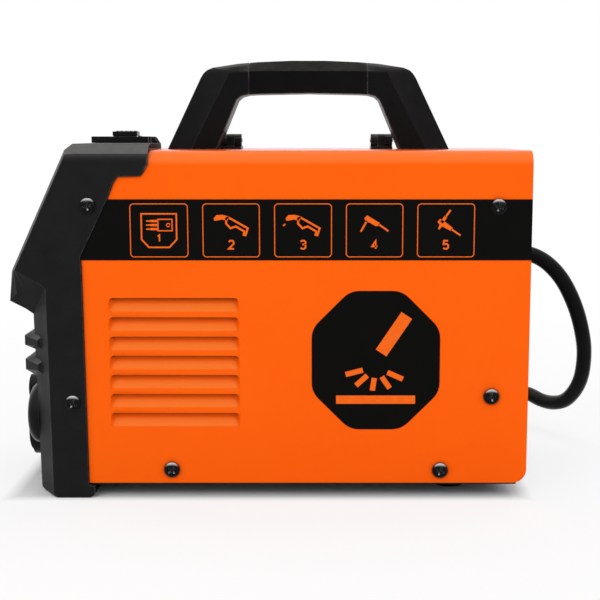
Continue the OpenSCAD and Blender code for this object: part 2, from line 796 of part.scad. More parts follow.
module rear_panel() {
    flange = 26;
    z0 = tray_z + sheet;
    z1 = top_z - sheet;
    y_low = -skin_in_y;
    y_high = skin_in_y - 0.2;
    color([0.1, 0.1, 0.1])
        difference() {
            union() {
                block([panel_in_x, y_low + sheet, z0], [panel_x, y_high - sheet, z1 - 9]);
                block([panel_in_x, y_low + 9, z0], [panel_x, y_high - 9, z1]);
                block([panel_x - flange, y_low, z0 + 18], [panel_x, y_low + sheet, z1 - 9]);
                block([panel_x - 12, y_high - sheet, z0 + 14], [panel_x, y_high, z1 - 9]);
            }
            rod_x(panel_in_x - 1, panel_x + 1, fan_y, fan_z, fan_hole_r);
            for (y = [-1, 1])
                for (z = [-1, 1])
                    rod_x(panel_in_x - 1, panel_x + 1, fan_y + y * (fan_size / 2 - 5),
                        fan_z + z * (fan_size / 2 - 5), 2.1);
            block([panel_in_x - 1, switch_y - 14.2, switch_z - 11.2],
                [panel_x + 1, switch_y + 14.2, switch_z + 11.2]);
            rod_x(panel_in_x - 1, panel_x + 1, gland_y, gland_z, 8.1);
            rod_x(panel_in_x - 1, panel_x + 1, gas_y, gas_z, 6.1);
            for (s = rear_screws)
                rod_y(s[0], -side_y - 1, 6 - skin_in_y, s[1], screw_hole_r);
            for (i = [0 : 6])
                block([panel_in_x - 1, -60, 122 + 5 * i], [panel_x + 1, -8, 124.6 + 5 * i]);
        }
}

// steel partition between the electronics and the wire feed, folded over under the cover's edge
module bulkhead() {
    x0 = frame_x + 2 * sheet;
    x1 = panel_in_x;
    z0 = tray_z + sheet;
    z1 = top_z - sheet;
    color([0.75, 0.76, 0.78])
        difference() {
            union() {
                block([x0, bulkhead_y, z0], [x1, feed_y, z1]);
                block([x0 + 32, -handle_y, z1 - 2], [x1 - 10, cover_edge_y, z1]);
                block([x0, bulkhead_y, z0], [x1 - 20, bulkhead_y + 9, z0 + bulkhead_t]);
            }
            for (x = [handle_x - bolt_spread, handle_x + bolt_spread])
                rod_z(x, 0, top_z - 19, top_z + 9, bolt_r + 0.1);
            rod_y(feeder_x, bulkhead_y - 1, feed_y + 1, drive_axis_z, 9);
            rod_y(spool_x, bulkhead_y - 1, feed_y + 1, spool_z, spool_shaft_r);
            for (i = [0 : 4])
                block([seam_x + 24 + 20 * i, bulkhead_y - 1, 176], [seam_x + 36 + 20 * i, feed_y + 1, 186]);
        }
}

// ---- hinges ----
module fixed_leaf(x) {
    difference() {
        union() {
            block([x - hinge_length / 2, handle_y + 0.4, top_z],
                [x + hinge_length / 2, hinge_y - 0.7, top_z + leaf_t]);
            block([x - hinge_third / 2, hinge_y - knuckle_r, top_z], [x + hinge_third / 2, hinge_y,
                hinge_z]);
            rod_x(x - hinge_third / 2, x + hinge_third / 2, hinge_y, hinge_z, knuckle_r);
        }
        rod_x(x - 20, x + 20, hinge_y, hinge_z, hinge_pin_r);
    }
}

module door_leaf(x) {
    difference() {
        union() {
            block([x - hinge_length / 2, hinge_y + 1.7, top_z],
                [x + hinge_length / 2, hinge_y + 16, top_z + leaf_t]);
            for (x0 = [x - hinge_length / 2, x + hinge_third / 2 + 0.1]) {
                x1 = x0 + hinge_third - 0.1;
                rod_x(x0, x1, hinge_y, hinge_z, knuckle_r);
                block([x0, hinge_y, top_z], [x1, hinge_y + knuckle_r, hinge_z]);
            }
        }
        rod_x(x - 20, x + 20, hinge_y, hinge_z, hinge_pin_r + running_gap);
    }
}

module fixed_hinge_leaves() {
    color([0.07, 0.07, 0.07])
        for (m = [-1, 1])
            fixed_leaf(hinge_mid_x + m * hinge_spread);
}

module door_hinge_leaves() {
    color([0.07, 0.07, 0.07])
        for (m = [-1, 1])
            door_leaf(hinge_mid_x + m * hinge_spread);
}

module hinge_pins() {
    color([0.8, 0.8, 0.82])
        for (m = [-1, 1])
            rod_x(hinge_mid_x + m * hinge_spread - hinge_length / 2 - 0.6,
                hinge_mid_x + m * hinge_spread + hinge_length / 2 + 0.6, hinge_y, hinge_z, hinge_pin_r);
}

// ---- door latch ----
latch_tongue_w = 9;
latch_tongue_h = 2;
latch_play = 0.2;
nose_r = 4.5;
nose_z = latch_z + 0.7;
// the latch is drawn open: it slides back by its travel, and its nose then lies over the door
nose_back = top_cut_x + 0.1 - latch_travel;
thumb_x = latch_front_x + 15;
thumb_length = 17.8;

// the open latch's nose lies in this notch in the bezel's top
module latch_notch() {
    half = latch_tongue_w / 2 + latch_play;
    block([top_cut_x - latch_travel - 0.4, latch_y - half, top_z], [top_cut_x + 1, latch_y + half,
        latch_z + 1]);
}

module latch_base() {
    y0 = latch_y - latch_width / 2;
    y1 = latch_y + latch_width / 2;
    half = latch_tongue_w / 2 + latch_play;
    color([0.05, 0.05, 0.05])
        difference() {
            block([latch_front_x, y0, latch_z], [latch_rear_x, y1, latch_z + latch_h]);
            block([latch_front_x + 4, latch_y - half, latch_z + 1 - latch_play],
                [latch_rear_x + 1, latch_y + half, latch_z + 1 + latch_tongue_h + latch_play]);
            block([latch_front_x + 5, latch_y - 3, latch_z + 1], [latch_rear_x + 1, latch_y + 3,
                latch_z + 9]);
            block([latch_rear_x - latch_travel - 0.6, latch_y - half, latch_z - 1],
                [latch_rear_x + 1, latch_y + half, latch_z + 9]);
        }
}

module latch_slider() {
    z0 = latch_z + 1;
    z1 = z0 + latch_tongue_h;
    y0 = latch_y - latch_tongue_w / 2;
    y1 = latch_y + latch_tongue_w / 2;
    color([0.16, 0.16, 0.16]) {
        block([thumb_x - 1, y0, z0], [nose_back + 0.5, y1, z1]);
        block([thumb_x, latch_y - 2.7, z0], [thumb_x + 16, latch_y + 2.7, latch_z + latch_h + 0.4]);
        block([thumb_x, y0 - 2, latch_z + latch_h + 0.3], [thumb_x + thumb_length, y1 + 2,
            latch_z + latch_h + 3.6]);
        difference() {
            rod_y(nose_back, y0, y1, nose_z, nose_r);
            block([nose_back - 9, y0 - 1, latch_z - 9], [nose_back, y1 + 1, latch_z + 9]);
        }
    }
}

// ---- carrying handle ----
handle_rise = [[-handle_length / 2, 0], [-74.3, 49], [-72.5, 51.8], [-70.2, 54], [-66, handle_height - 4.7],
    [-48, handle_height - 2], [-34, handle_height - 0.9], [-12, handle_height]];
handle_outer = concat(handle_rise, [for (i = [7 : -1 : 0]) [-handle_rise[i][0], handle_rise[i][1]]]);
handle_side = [[17 - handle_length / 2, 0], [-53.9, 52.6], [-30, 53.2], [30, 53.2], [53.9, 52.6],
    [handle_length / 2 - 17, 0]];
handle_foot = handle_length / 2 - 35;
handle_hollow = [[-handle_foot, -1], [-handle_foot, 0], [-49, 33.3], [-46, 36], [-41.5, 37.2], [-36, 37.6],
    [0, 38.3], [36, 37.6], [41.5, 37.2], [46, 36], [49, 33.3], [handle_foot, 0], [handle_foot, -1]];

module handle_cut(half) {
    across([for (p = handle_hollow) [handle_x + p[0], top_z + p[1]]], -half, half);
}

module handle_form(narrow) {
    outer = [for (p = handle_outer) [handle_x + p[0], top_z + p[1]]];
    inner = [for (p = handle_side) [handle_x + p[0], top_z + p[1]]];
    hull() {
        across(outer, -narrow, narrow);
        across(inner, -handle_y, handle_y);
    }
}

// the band that the soft grip covers, and the core of the handle inside it
module grip_band() {
    g = grip_length / 2;
    block([handle_x - g, -handle_y - 1, top_z + 30], [handle_x + g, handle_y + 1, top_z + 90]);
}

module grip_core() {
    g = grip_length / 2;
    block([handle_x - g - 1, 3 - handle_y, top_z + 30], [handle_x + g + 1, handle_y - 3, top_z + 52]);
}

module carry_handle() {
    color([0.11, 0.11, 0.11])
        difference() {
            handle_form(5);
            handle_cut(handle_y + 1);
            difference() {
                grip_band();
                grip_core();
            }
            for (x = [handle_x - bolt_spread, handle_x + bolt_spread])
                rod_z(x, 0, top_z - 1, top_z + 20, bolt_r);
        }
}

module handle_grip() {
    color([0.07, 0.07, 0.07])
        difference() {
            intersection() {
                handle_form(5);
                grip_band();
            }
            handle_cut(handle_y + 1);
            grip_core();
        }
}

module handle_bolts() {
    color([0.6, 0.6, 0.62])
        for (x = [handle_x - bolt_spread, handle_x + bolt_spread])
            union() {
                rod_z(x, 0, top_z - sheet - 6, top_z + 18, bolt_r);
                translate([x, 0, top_z - sheet - 6.5])
                    cylinder(h = 4.5, r = 5, $fn = 6);
            }
}

// ---- case screws ----
module side_screw(x, z, y) {
    difference() {
        union() {
            rod_y(x, -y - screw_head_h, -y, z, screw_head_r);
            rod_y(x, -y, screw_length - y, z, screw_r);
        }
        for (w = [[3.2, 0.6], [0.6, 3.2]])
            block([x - w[0], -y - 9, z - w[1]], [x + w[0], 1.4 - y - screw_head_h, z + w[1]]);
    }
}

module case_screws() {
    color([0.08, 0.08, 0.08]) {
        for (s = cover_screws)
            side_screw(s[0], s[1], skin_y);
        for (s = bezel_screws) {
            side_screw(s[0], s[1], side_y);
            mirror([0, 1, 0])
                side_screw(s[0], s[1], side_y);
        }
    }
}

// ---- rear fittings ----
rocker_x = panel_x - 5;
rocker_tilt = 8;
rocker_pin_r = 1.2;

module switch_frame() {
    color([0.06, 0.06, 0.06]) {
        difference() {
            union() {
                block([panel_x, switch_y - 17, switch_z - 14], [panel_x + 2.2, switch_y + 17,
                    switch_z + 14]);
                block([panel_x - 22, switch_y - 14, switch_z - 11], [panel_x, switch_y + 14,
                    switch_z + 11]);
            }
            block([panel_x - 14, switch_y - 12, switch_z - 9], [panel_x + 9, switch_y + 12, switch_z + 9]);
        }
        rod_y(rocker_x, switch_y - 12.5, switch_y + 12.5, switch_z, rocker_pin_r);
    }
}

module mains_rocker() {
    color([0.7, 0.08, 0.06])
        translate([rocker_x, 0, switch_z])
            rotate([0, rocker_tilt, 0])
                difference() {
                    across([[-3, -5], [-3, 5], [6.2, 7.9], [7.6, 7.6], [6.4, 0], [7.6, -7.6], [6.2, -7.9]],
                        switch_y - 11.6, switch_y + 11.6);
                    rod_y(0, switch_y - 12, switch_y + 12, 0, rocker_pin_r + running_gap);
                }
}

module gas_inlet() {
    color([0.8, 0.64, 0.32]) {
        difference() {
            union() {
                rod_x(panel_x - 14, panel_x + 6, gas_y, gas_z, 6);
                translate([panel_x, gas_y, gas_z])
                    rotate([0, 90, 0])
                        cylinder(h = 5, r = 9, $fn = 6);
                rod_x(panel_x + 4, rear_x + inlet_reach, gas_y, gas_z, barb_r - 0.8);
                for (i = [0 : 2])
                    translate([rear_x + inlet_reach - 4.2 * i - 4, gas_y, gas_z])
                        rotate([0, 90, 0])
                            cylinder(h = 4, r1 = barb_r, r2 = barb_r - 0.8);
            }
            rod_x(panel_x - 20, rear_x + inlet_reach + 1, gas_y, gas_z, 2);
        }
    }
}

module gas_valve() {
    x1 = panel_x - 14;
    color([0.75, 0.62, 0.35])
        difference() {
            union() {
                block([x1 - 30, gas_y - 11, gas_z - 10], [x1, gas_y + 11, gas_z + 10]);
                rod_z(x1 - 15, gas_y, gas_z + 10, gas_z + 16, 6);
                block([x1 - 27, gas_y - 12, gas_z + 16], [x1 - 3, gas_y + 12, gas_z + 42]);
                rod_x(x1 - 42, x1 - 30, gas_y, gas_z, 4);
                block([x1 - 24, gas_y - 20, gas_z - 28], [x1 - 6, gas_y + 8, gas_z - 26]);
                block([x1 - 24, feed_y, gas_z - 28], [x1 - 6, feed_y + 2, gas_z - 8]);
                block([x1 - 24, feed_y, gas_z - 28], [x1 - 6, gas_y - 10, gas_z - 26]);
                block([x1 - 24, gas_y - 2, gas_z - 28], [x1 - 6, gas_y + 2, gas_z - 9]);
            }
            rod_x(x1 - 43, x1 + 1, gas_y, gas_z, 2);
        }
}

fan_x = panel_in_x - fan_depth;
rotor_r = fan_size / 2 - 3.6;

module fan_frame() {
    h = fan_size / 2;
    color([0.05, 0.05, 0.05])
        difference() {
            union() {
                difference() {
                    block([fan_x, fan_y - h, fan_z - h], [panel_in_x, fan_y + h, fan_z + h]);
                    rod_x(fan_x - 1, panel_in_x + 1, fan_y, fan_z, h - 2.5);
                    block([fan_x + 4, fan_y - h - 1, fan_z - h + 14], [panel_in_x - 4, fan_y + h + 1,
                        fan_z + h - 14]);
                }
                difference() {
                    rod_x(fan_x + 1, panel_in_x - 1, fan_y, fan_z, h - 1);
                    rod_x(fan_x, panel_in_x, fan_y, fan_z, h - 2.5);
                }
                rod_x(fan_x, fan_x + 3, fan_y, fan_z, 13);
                for (a = [45 : 90 : 315])
                    translate([0, fan_y, fan_z])
                        rotate([a, 0, 0])
                            block([fan_x, -2, 10], [fan_x + 3, 2, h - 1]);
                rod_x(fan_x + 2, fan_x + 16, fan_y, fan_z, 3.9);
            }
            rod_x(fan_x - 1, panel_in_x, fan_y, fan_z, 2);
            for (y = [-1, 1])
                for (z = [-1, 1])
                    rod_x(fan_x - 1, panel_in_x + 1, fan_y + y * (h - 5), fan_z + z * (h - 5), 2.1);
        }
}

module fan_rotor() {
    color([0.1, 0.1, 0.1])
        difference() {
            union() {
                rod_x(fan_x + 4, fan_x + fan_depth - 3, fan_y, fan_z, 14);
                for (i = [0 : 6])
                    translate([fan_x + 12.5, fan_y, fan_z])
                        rotate([i * 360 / 7, 0, 0])
                            rotate([0, 0, 35])
                                block([-10, -0.7, 13], [10, 0.7, rotor_r - 1.4]);
            }
            rod_x(fan_x + 3, fan_x + 18, fan_y, fan_z, 12.6);
        }
    color([0.7, 0.7, 0.72])
        rod_x(fan_x - 0.5, fan_x + fan_depth - 4, fan_y, fan_z, 2 - running_gap);
}

module fan_guard() {
    wire = 0.9;
    x0 = panel_x;
    guard_reach = (fan_size / 2 - 5) * sqrt(2);
    color([0.8, 0.8, 0.82]) {
        for (r = [10, 17, 24, 31])
            difference() {
                rod_x(x0 + 2, x0 + 2 + 2 * wire, fan_y, fan_z, r + wire);
                rod_x(x0 + 1, x0 + 9, fan_y, fan_z, r - wire);
            }
        for (a = [45, 135])
            translate([0, fan_y, fan_z])
                rotate([a, 0, 0])
                    block([x0 + 0.6, -wire, -guard_reach], [x0 + 2.4, wire, guard_reach]);
        for (y = [-1, 1])
            for (z = [-1, 1])
                translate([0, fan_y + y * (fan_size / 2 - 5), fan_z + z * (fan_size / 2 - 5)])
                    difference() {
                        rod_x(x0, x0 + 4.2, 0, 0, 3.6);
                        block([x0 + 3.4, -2, -0.5], [x0 + 5, 2, 0.5]);
                    }
    }
}

// ---- wire feed ----
spool_end_y = spool_y + spool_width;
hub_flange_t = 2.5;
nut_stud_r = 3;

module spool_shaft() {
    color([0.1, 0.1, 0.1]) {
        rod_y(spool_x, bulkhead_y - 5, feed_y, spool_z, spool_shaft_r);
        rod_y(spool_x, bulkhead_y - 5, bulkhead_y, spool_z, 12);
        rod_y(spool_x, feed_y, spool_y - 0.4, spool_z, 18);
        rod_y(spool_x, feed_y, spool_end_y + hub_flange_t, spool_z, spool_shaft_r);
        rod_y(spool_x, feed_y, spool_end_y + hub_flange_t + 8, spool_z, nut_stud_r);
    }
}

module spool_hub() {
    color([0.12, 0.12, 0.13])
        difference() {
            union() {
                rod_y(spool_x, spool_y, spool_end_y, spool_z, 8);
                rod_y(spool_x, spool_end_y, spool_end_y + hub_flange_t, spool_z, hub_r);
            }
            rod_y(spool_x, spool_y - 1, spool_end_y + 9, spool_z, spool_shaft_r + running_gap);
        }
}

module spool_nut() {
    y0 = spool_end_y + hub_flange_t + 0.3;
    color([0.1, 0.1, 0.1])
        difference() {
            union() {
                rod_y(spool_x, y0, y0 + 7, spool_z, 10);
                for (a = [0 : 60 : 300])
                    translate([spool_x, 0, spool_z])
                        rotate([0, a, 0])
                            rod_y(10, y0, y0 + 7, 0, 3);
            }
            rod_y(spool_x, y0 - 1, y0 + 9, spool_z, nut_stud_r);
        }
}

module wire_spool() {
    flange_t = 2.5;
    color([0.12, 0.12, 0.12])
        difference() {
            union() {
                rod_y(spool_x, spool_y, spool_end_y, spool_z, 22);
                rod_y(spool_x, spool_y, spool_y + flange_t, spool_z, spool_r);
                rod_y(spool_x, spool_end_y - flange_t, spool_end_y, spool_z, spool_r);
            }
            rod_y(spool_x, spool_y - 1, spool_end_y + 1, spool_z, 8);
            for (a = [30 : 60 : 330])
                translate([spool_x, 0, spool_z])
                    rotate([0, a, 0]) {
                        rod_y(34, spool_y - 1, spool_y + flange_t + 0.1, 0, 8);
                        rod_y(34, spool_end_y - flange_t - 0.1, spool_end_y + 1, 0, 8);
                    }
        }
}

module welding_wire() {
    color([0.8, 0.5, 0.32])
        difference() {
            rod_y(spool_x, spool_y + 2.5, spool_end_y - 2.5, spool_z, spool_r - 3.5);
            rod_y(spool_x, spool_y, spool_end_y, spool_z, 22);
        }
}

module feeder_plate() {
    y1 = feed_y + 8;
    color([0.13, 0.13, 0.14])
        difference() {
            union() {
                block([feeder_x - 30, feed_y, wire_z - 36], [feeder_x + 32, y1, wire_z + 21]);
                block([feeder_x + 19, y1, wire_z - 12], [feeder_x + 31, wire_y + 4, wire_z + 4]);
                block([feeder_x - 30, y1, wire_z - 5], [feeder_x - 18, wire_y + 4, wire_z + 5]);
                rod_y(arm_pivot[0], y1, wire_y + 7, arm_pivot[1], arm_pin_r);
                rod_y(lever_pivot[0], y1, lever_y + 5, lever_pivot[1], arm_pin_r);
            }
            rod_y(feeder_x, feed_y - 1, y1 + 1, drive_axis_z, 9);
            rod_x(feeder_x + 10, feeder_x + 40, wire_y, wire_z, 2.5);
            rod_x(feeder_x - 40, feeder_x - 10, wire_y, wire_z, 3.5);
        }
}

module drive_motor() {
    color([0.35, 0.36, 0.38])
        difference() {
            union() {
                rod_y(feeder_x, bulkhead_y - 58, bulkhead_y - 18, drive_axis_z, 17);
                rod_y(feeder_x, bulkhead_y - 18, bulkhead_y, drive_axis_z, 19);
                rod_y(feeder_x, bulkhead_y - 62, bulkhead_y - 58, drive_axis_z, 6);
                rod_y(feeder_x, bulkhead_y, feed_y + 6, drive_axis_z, 8.9);
            }
            rod_y(feeder_x, bulkhead_y - 14, feed_y + 7, drive_axis_z, drive_shaft_r + running_gap);
        }
}

module drive_roll() {
    groove = 0.6;
    color([0.72, 0.73, 0.75]) {
        rod_y(feeder_x, bulkhead_y - 12, wire_y + 9, drive_axis_z, drive_shaft_r);
        rod_y(feeder_x, wire_y - 6, wire_y + 6, drive_axis_z, drive_roll_d / 2 - 0.6);
        rod_y(feeder_x, wire_y - 6, wire_y - groove, drive_axis_z, drive_roll_d / 2);
        rod_y(feeder_x, wire_y + groove, wire_y + 6, drive_axis_z, drive_roll_d / 2);
        rod_y(feeder_x, wire_y + 6, wire_y + 13, drive_axis_z, 9);
        for (a = [0 : 45 : 315])
            translate([feeder_x, 0, drive_axis_z])
                rotate([0, a, 0])
                    rod_y(8.4, wire_y + 7, wire_y + 13, 0, 1.5);
    }
}

// the arm carries the pressure roll and ends in a fork beside the tension lever
arm_tip_x = lever_pivot[0] - 4;
fork_top_z = pressure_axis_z + 11;
fork_h = 6;

module pressure_arm() {
    web_y = wire_y - 10.4;
    low_z = pressure_axis_z - 4;
    color([0.14, 0.14, 0.15])
        difference() {
            union() {
                rod_y(arm_pivot[0], wire_y - 12, wire_y + 6.5, arm_pivot[1], 7);
                across([[arm_pivot[0] + 2, arm_pivot[1] + 4], [arm_pivot[0] - 4, arm_pivot[1] + 6.6],
                    [feeder_x - 8, fork_top_z + 1], [arm_tip_x, fork_top_z], [arm_tip_x,
                        fork_top_z - fork_h],
                    [feeder_x - 14, fork_top_z - fork_h], [feeder_x - 11, low_z], [feeder_x + 6, low_z],
                    [arm_pivot[0] - 2, arm_pivot[1] - 3]], web_y, web_y + 4);
                block([arm_tip_x, web_y, fork_top_z - fork_h], [feeder_x - 14, lever_y + 5, fork_top_z]);
                rod_y(feeder_x, web_y + 2, wire_y + 7, pressure_axis_z, 3);
            }
            rod_y(arm_pivot[0], wire_y - 13, wire_y + 8, arm_pivot[1], arm_pin_r + running_gap);
            block([arm_tip_x - 1, lever_y - 2.8, fork_top_z - 9], [lever_pivot[0] + 2.9, lever_y + 2.8,
                fork_top_z + 2]);
        }
}

module pressure_roll() {
    color([0.75, 0.76, 0.78])
        difference() {
            rod_y(feeder_x, wire_y - 6, wire_y + 6, pressure_axis_z, pressure_roll_d / 2);
            rod_y(feeder_x, wire_y - 7, wire_y + 7, pressure_axis_z, 3 + running_gap);
        }
}

module tension_lever() {
    x = lever_pivot[0];
    collar_low = fork_top_z + 7;
    color([0.09, 0.09, 0.1])
        difference() {
            union() {
                rod_y(x, lever_y - 4, lever_y + 4, lever_pivot[1], 6);
                rod_z(x, lever_y, lever_pivot[1] + 3, collar_low + 20, 2.4);
                rod_z(x, lever_y, collar_low, collar_low + 3, 6.6);
                rod_z(x, lever_y, collar_low + 3, collar_low + 18, 8.5);
                rod_z(x, lever_y, collar_low + 18, collar_low + 20, 6.5);
            }
            rod_y(x, lever_y - 9, lever_y + 9, lever_pivot[1], arm_pin_r + running_gap);
        }
}

module inlet_guide() {
    color([0.8, 0.64, 0.32])
        difference() {
            union() {
                rod_x(feeder_x + 17, feeder_x + 46, wire_y, wire_z, 2.5);
                rod_x(feeder_x + 31, feeder_x + 46, wire_y, wire_z, 4);
            }
            rod_x(feeder_x + 10, feeder_x + 50, wire_y, wire_z, 1);
        }
}

module outlet_guide() {
    color([0.8, 0.64, 0.32])
        difference() {
            union() {
                rod_x(torch_bore_x + 2, feeder_x - 17, wire_y, wire_z, guide_r);
                rod_x(face_x + 29, face_x + 34, wire_y, wire_z, torch_bore_r);
            }
            rod_x(face_x + 10, feeder_x - 10, wire_y, wire_z, 1);
        }
}

// ---- power electronics ----
board_y = bulkhead_y - 11.4;
board_x0 = seam_x + 102;
board_x1 = panel_in_x - fan_depth - 8;
board_face_y = board_y - 1.6;
choke_x = 22;
choke_r = 19;

module main_board() {
    color([0.05, 0.35, 0.18]) {
        block([board_x0, board_face_y, 24], [board_x1, board_y, 208]);
        for (x = [board_x0 + 8, board_x1 - 8])
            for (z = [30, 202])
                rod_y(x, board_y, bulkhead_y, z, 3);
    }
}

sink_x0 = board_x0 + choke_x + choke_r + 14;
sink_x1 = board_x1 - 4;
sink_h = 48;
fin_pitch = (sink_h - 2.4) / 6;

module heatsink(z) {
    block([sink_x0, board_face_y - 5, z], [sink_x1, board_face_y, z + sink_h]);
    for (i = [0 : 6])
        block([sink_x0, board_face_y - 44, z + 0.2 + fin_pitch * i],
            [sink_x1, board_face_y - 5, z + 2.2 + fin_pitch * i]);
}

module heatsinks() {
    color([0.78, 0.79, 0.8]) {
        heatsink(32);
        heatsink(98);
    }
}

module capacitors() {
    color([0.12, 0.2, 0.4])
        for (i = [0 : 2])
            rod_y(board_x0 + choke_x + 34 * i, board_face_y - 45, board_face_y, 178, 14);
}

module main_transformer() {
    x0 = board_x0 + 3;
    y0 = board_face_y - 48;
    color([0.2, 0.2, 0.21])
        difference() {
            block([x0, y0, 98], [x0 + 38, board_face_y, 154]);
            block([x0 + 8, y0 - 1, 106], [x0 + 30, board_face_y - 6, 118]);
            block([x0 + 8, y0 - 1, 134], [x0 + 30, board_face_y - 6, 146]);
        }
}

module output_choke() {
    color([0.72, 0.42, 0.2])
        translate([board_x0 + choke_x, board_face_y, 60])
            rotate([90, 0, 0])
                difference() {
                    cylinder(h = 38, r = choke_r);
                    translate([0, 0, -1])
                        cylinder(h = 45, r = 9);
                }
}

// ---- mains cable ----
cable_r = cable_d / 2;
gland_reach = 15.7;
cable_exit = [panel_x + gland_reach, gland_y, gland_z];

module cable_gland() {
    color([0.05, 0.05, 0.05]) {
        rod_x(panel_in_x - 9, panel_x + 2, gland_y, gland_z, 8);
        for (x = [panel_x, panel_in_x - 6])
            translate([x, gland_y, gland_z])
                rotate([0, 90, 0])
                    cylinder(h = 6, r = 11, $fn = 6);
        translate([panel_x + 6, gland_y, gland_z])
            rotate([0, 90, 0])
                cylinder(h = gland_reach - 6, r1 = 8.6, r2 = cable_r + 0.8);
    }
}

// the coil behind the case: two layers, wound in, then out again on top
coil_centre = [panel_x - 127, 197];
coil_pitch = cable_d + coil_gap;
coil_out = coil_r + coil_pitch * layer_turns / 2;
coil_in = coil_r - coil_pitch * layer_turns / 2;
coil_turns = 2 * layer_turns + 0.5;
coil_start_angle = -90;
plug_r = 18;
plug_z = plug_r;
rings_per_loop = 24;

function ease(s) = s < 0 ? 0 : s > 1 ? 1 : s * s * (3 - 2 * s);
function coil_radius(t) = t < layer_turns ? coil_out - coil_pitch * t
    : t < layer_turns + 0.5 ? coil_in - coil_pitch * (0.25 - abs(t - layer_turns - 0.25))
    : coil_in + coil_pitch * (t - layer_turns - 0.5);
function coil_height(t) = cable_r + coil_pitch * ease((t - layer_turns) / 0.5)
    + (plug_z - cable_r - coil_pitch) * ease((t - coil_turns + 0.2) / 0.2);
function coil_point(t) = [coil_centre[0] + coil_radius(t) * cos(coil_start_angle - 360 * t),
    coil_centre[1] + coil_radius(t) * sin(coil_start_angle - 360 * t), coil_height(t)];
coil_steps = rings_per_loop * coil_turns;
coil_loop = [for (i = [0 : coil_steps]) coil_point(i / rings_per_loop)];
coil_path = concat([coil_loop[0] + [1.2 * cable_d, 0, 0]], coil_loop,
    [coil_loop[coil_steps] + [1.2 * cable_d, 0, 0]]);

// points along the free cable from the gland to the coil, X from the rear panel
cable_points = [[24.8, 30, 151.6], [35.3, 30.5, 146.4], [45.4, 32, 136.9], [53.8, 35, 124.6],
    [62.1, 40, 107.3], [68.1, 46, 88.8], [71.3, 53, 72.9], [71.9, 62, 54.7], [69.4, 72, 40.7],
    [64.1, 83, 30.1], [57.1, 95, 25.3], [49.7, 107, 24.7], [41.9, 119, 27], [31.5, 130, 27.5],
    [18, 138, 24.5], [2, 141, 19], [-15, 140, 13.2], [-33, 136.5, 9], [-52, 132, 6.6],
    [-75, 128.2, 5.8], [-95, 126.3, 5.7]];
cable_route = concat([cable_exit], [for (p = cable_points) p + [panel_x, 0, 0]],
    [coil_path[0]]);

function unit(v) = v / norm(v);
function heading(path, i) = unit(path[min(i + 1, len(path) - 1)] - path[max(i - 1, 0)]);
function tube_ring(path, i, r, sides, up) = let (t = heading(path, i), n = unit(cross(t, up)),
    b = cross(t, n)) [for (k = [0 : sides - 1]) path[i] + r * (n * cos(360 * k / sides)
    + b * sin(360 * k / sides))];

module tube(path, r, sides, up) {
    loft([for (i = [0 : len(path) - 1]) tube_ring(path, i, r, sides, up)]);
}

module mains_cable() {
    color([0.04, 0.04, 0.04])
        tube(cable_route, cable_r, 10, [0, 1, 0.2]);
}

module cable_coil() {
    color([0.04, 0.04, 0.04])
        tube(coil_path, cable_r, 6, [0, 0, 1]);
}

coil_apart = [for (i = [0 : 2 : coil_steps]) for (j = [i + rings_per_loop / 2 : coil_steps])
    norm(coil_loop[i] - coil_loop[j])];
function path_length(path) = [for (i = 1, s = norm(path[1] - path[0]); i < len(path); i = i + 1,
    s = s + (i < len(path) ? norm(path[i] - path[i - 1]) : 0)) s];
coil_lengths = path_length(coil_path);
cable_lengths = path_length(cable_route);
echo(coil_least_gap = min(coil_apart) - cable_d);
echo(coil_length = coil_lengths[len(coil_lengths) - 1],
    free_length = cable_lengths[len(cable_lengths) - 1]);

plug_tail = 46;
plug_length = 34;
plug_pin_length = 19;
plug_pin_r = 2.4;
plug_start = coil_path[len(coil_path) - 1];

module mains_plug() {
    x0 = plug_start[0];
    y = plug_start[1];
    x1 = x0 + plug_tail;
    x2 = x1 + plug_length;
    color([0.05, 0.05, 0.05])
        difference() {
            union() {
                translate([x0, y, plug_z])
                    rotate([0, 90, 0])
                        cylinder(h = plug_tail, r1 = cable_r + 1, r2 = 10);
                translate([x1 - 8, y, plug_z])
                    rotate([0, 90, 0])
                        cylinder(h = 8, r1 = 9, r2 = plug_r);
                rod_x(x1, x2, y, plug_z, plug_r);
            }
            for (m = [-1, 1])
                translate([x2 - 18, y, plug_z])
                    block([0, -3, m * (plug_r - 0.5) - 2], [19, 3, m * (plug_r - 0.5) + 2]);
        }
    color([0.8, 0.8, 0.82])
        for (m = [-1, 1])
            rod_x(x2 - 1, x2 + plug_pin_length, y + m * 9.5, plug_z, plug_pin_r);
}

front_bezel();
control_facia();
display_window();
status_lamps();
current_knob();
wire_speed_knob();
mode_button();
trigger_button();
control_board();
connector_panel();
torch_connector();
torch_insulator();
socket_bodies();
socket_cores();
front_frame();
main_cover();
side_stripe();
base_tray();
rear_feet();
rear_panel();
bulkhead();
side_door();
fixed_hinge_leaves();
door_hinge_leaves();
hinge_pins();
latch_base();
latch_slider();
carry_handle();
handle_grip();
handle_bolts();
case_screws();
switch_frame();
mains_rocker();
gas_inlet();
gas_valve();
fan_frame();
fan_rotor();
fan_guard();
spool_shaft();
spool_hub();
spool_nut();
wire_spool();
welding_wire();
feeder_plate();
drive_motor();
drive_roll();
pressure_arm();
pressure_roll();
tension_lever();
inlet_guide();
outlet_guide();
main_board();
heatsinks();
capacitors();
main_transformer();
output_choke();
cable_gland();
mains_cable();
cable_coil();
mains_plug();
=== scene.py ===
from math import cos, pi, radians, sin, sqrt

import bmesh
import bpy
from mathutils import Matrix, Vector


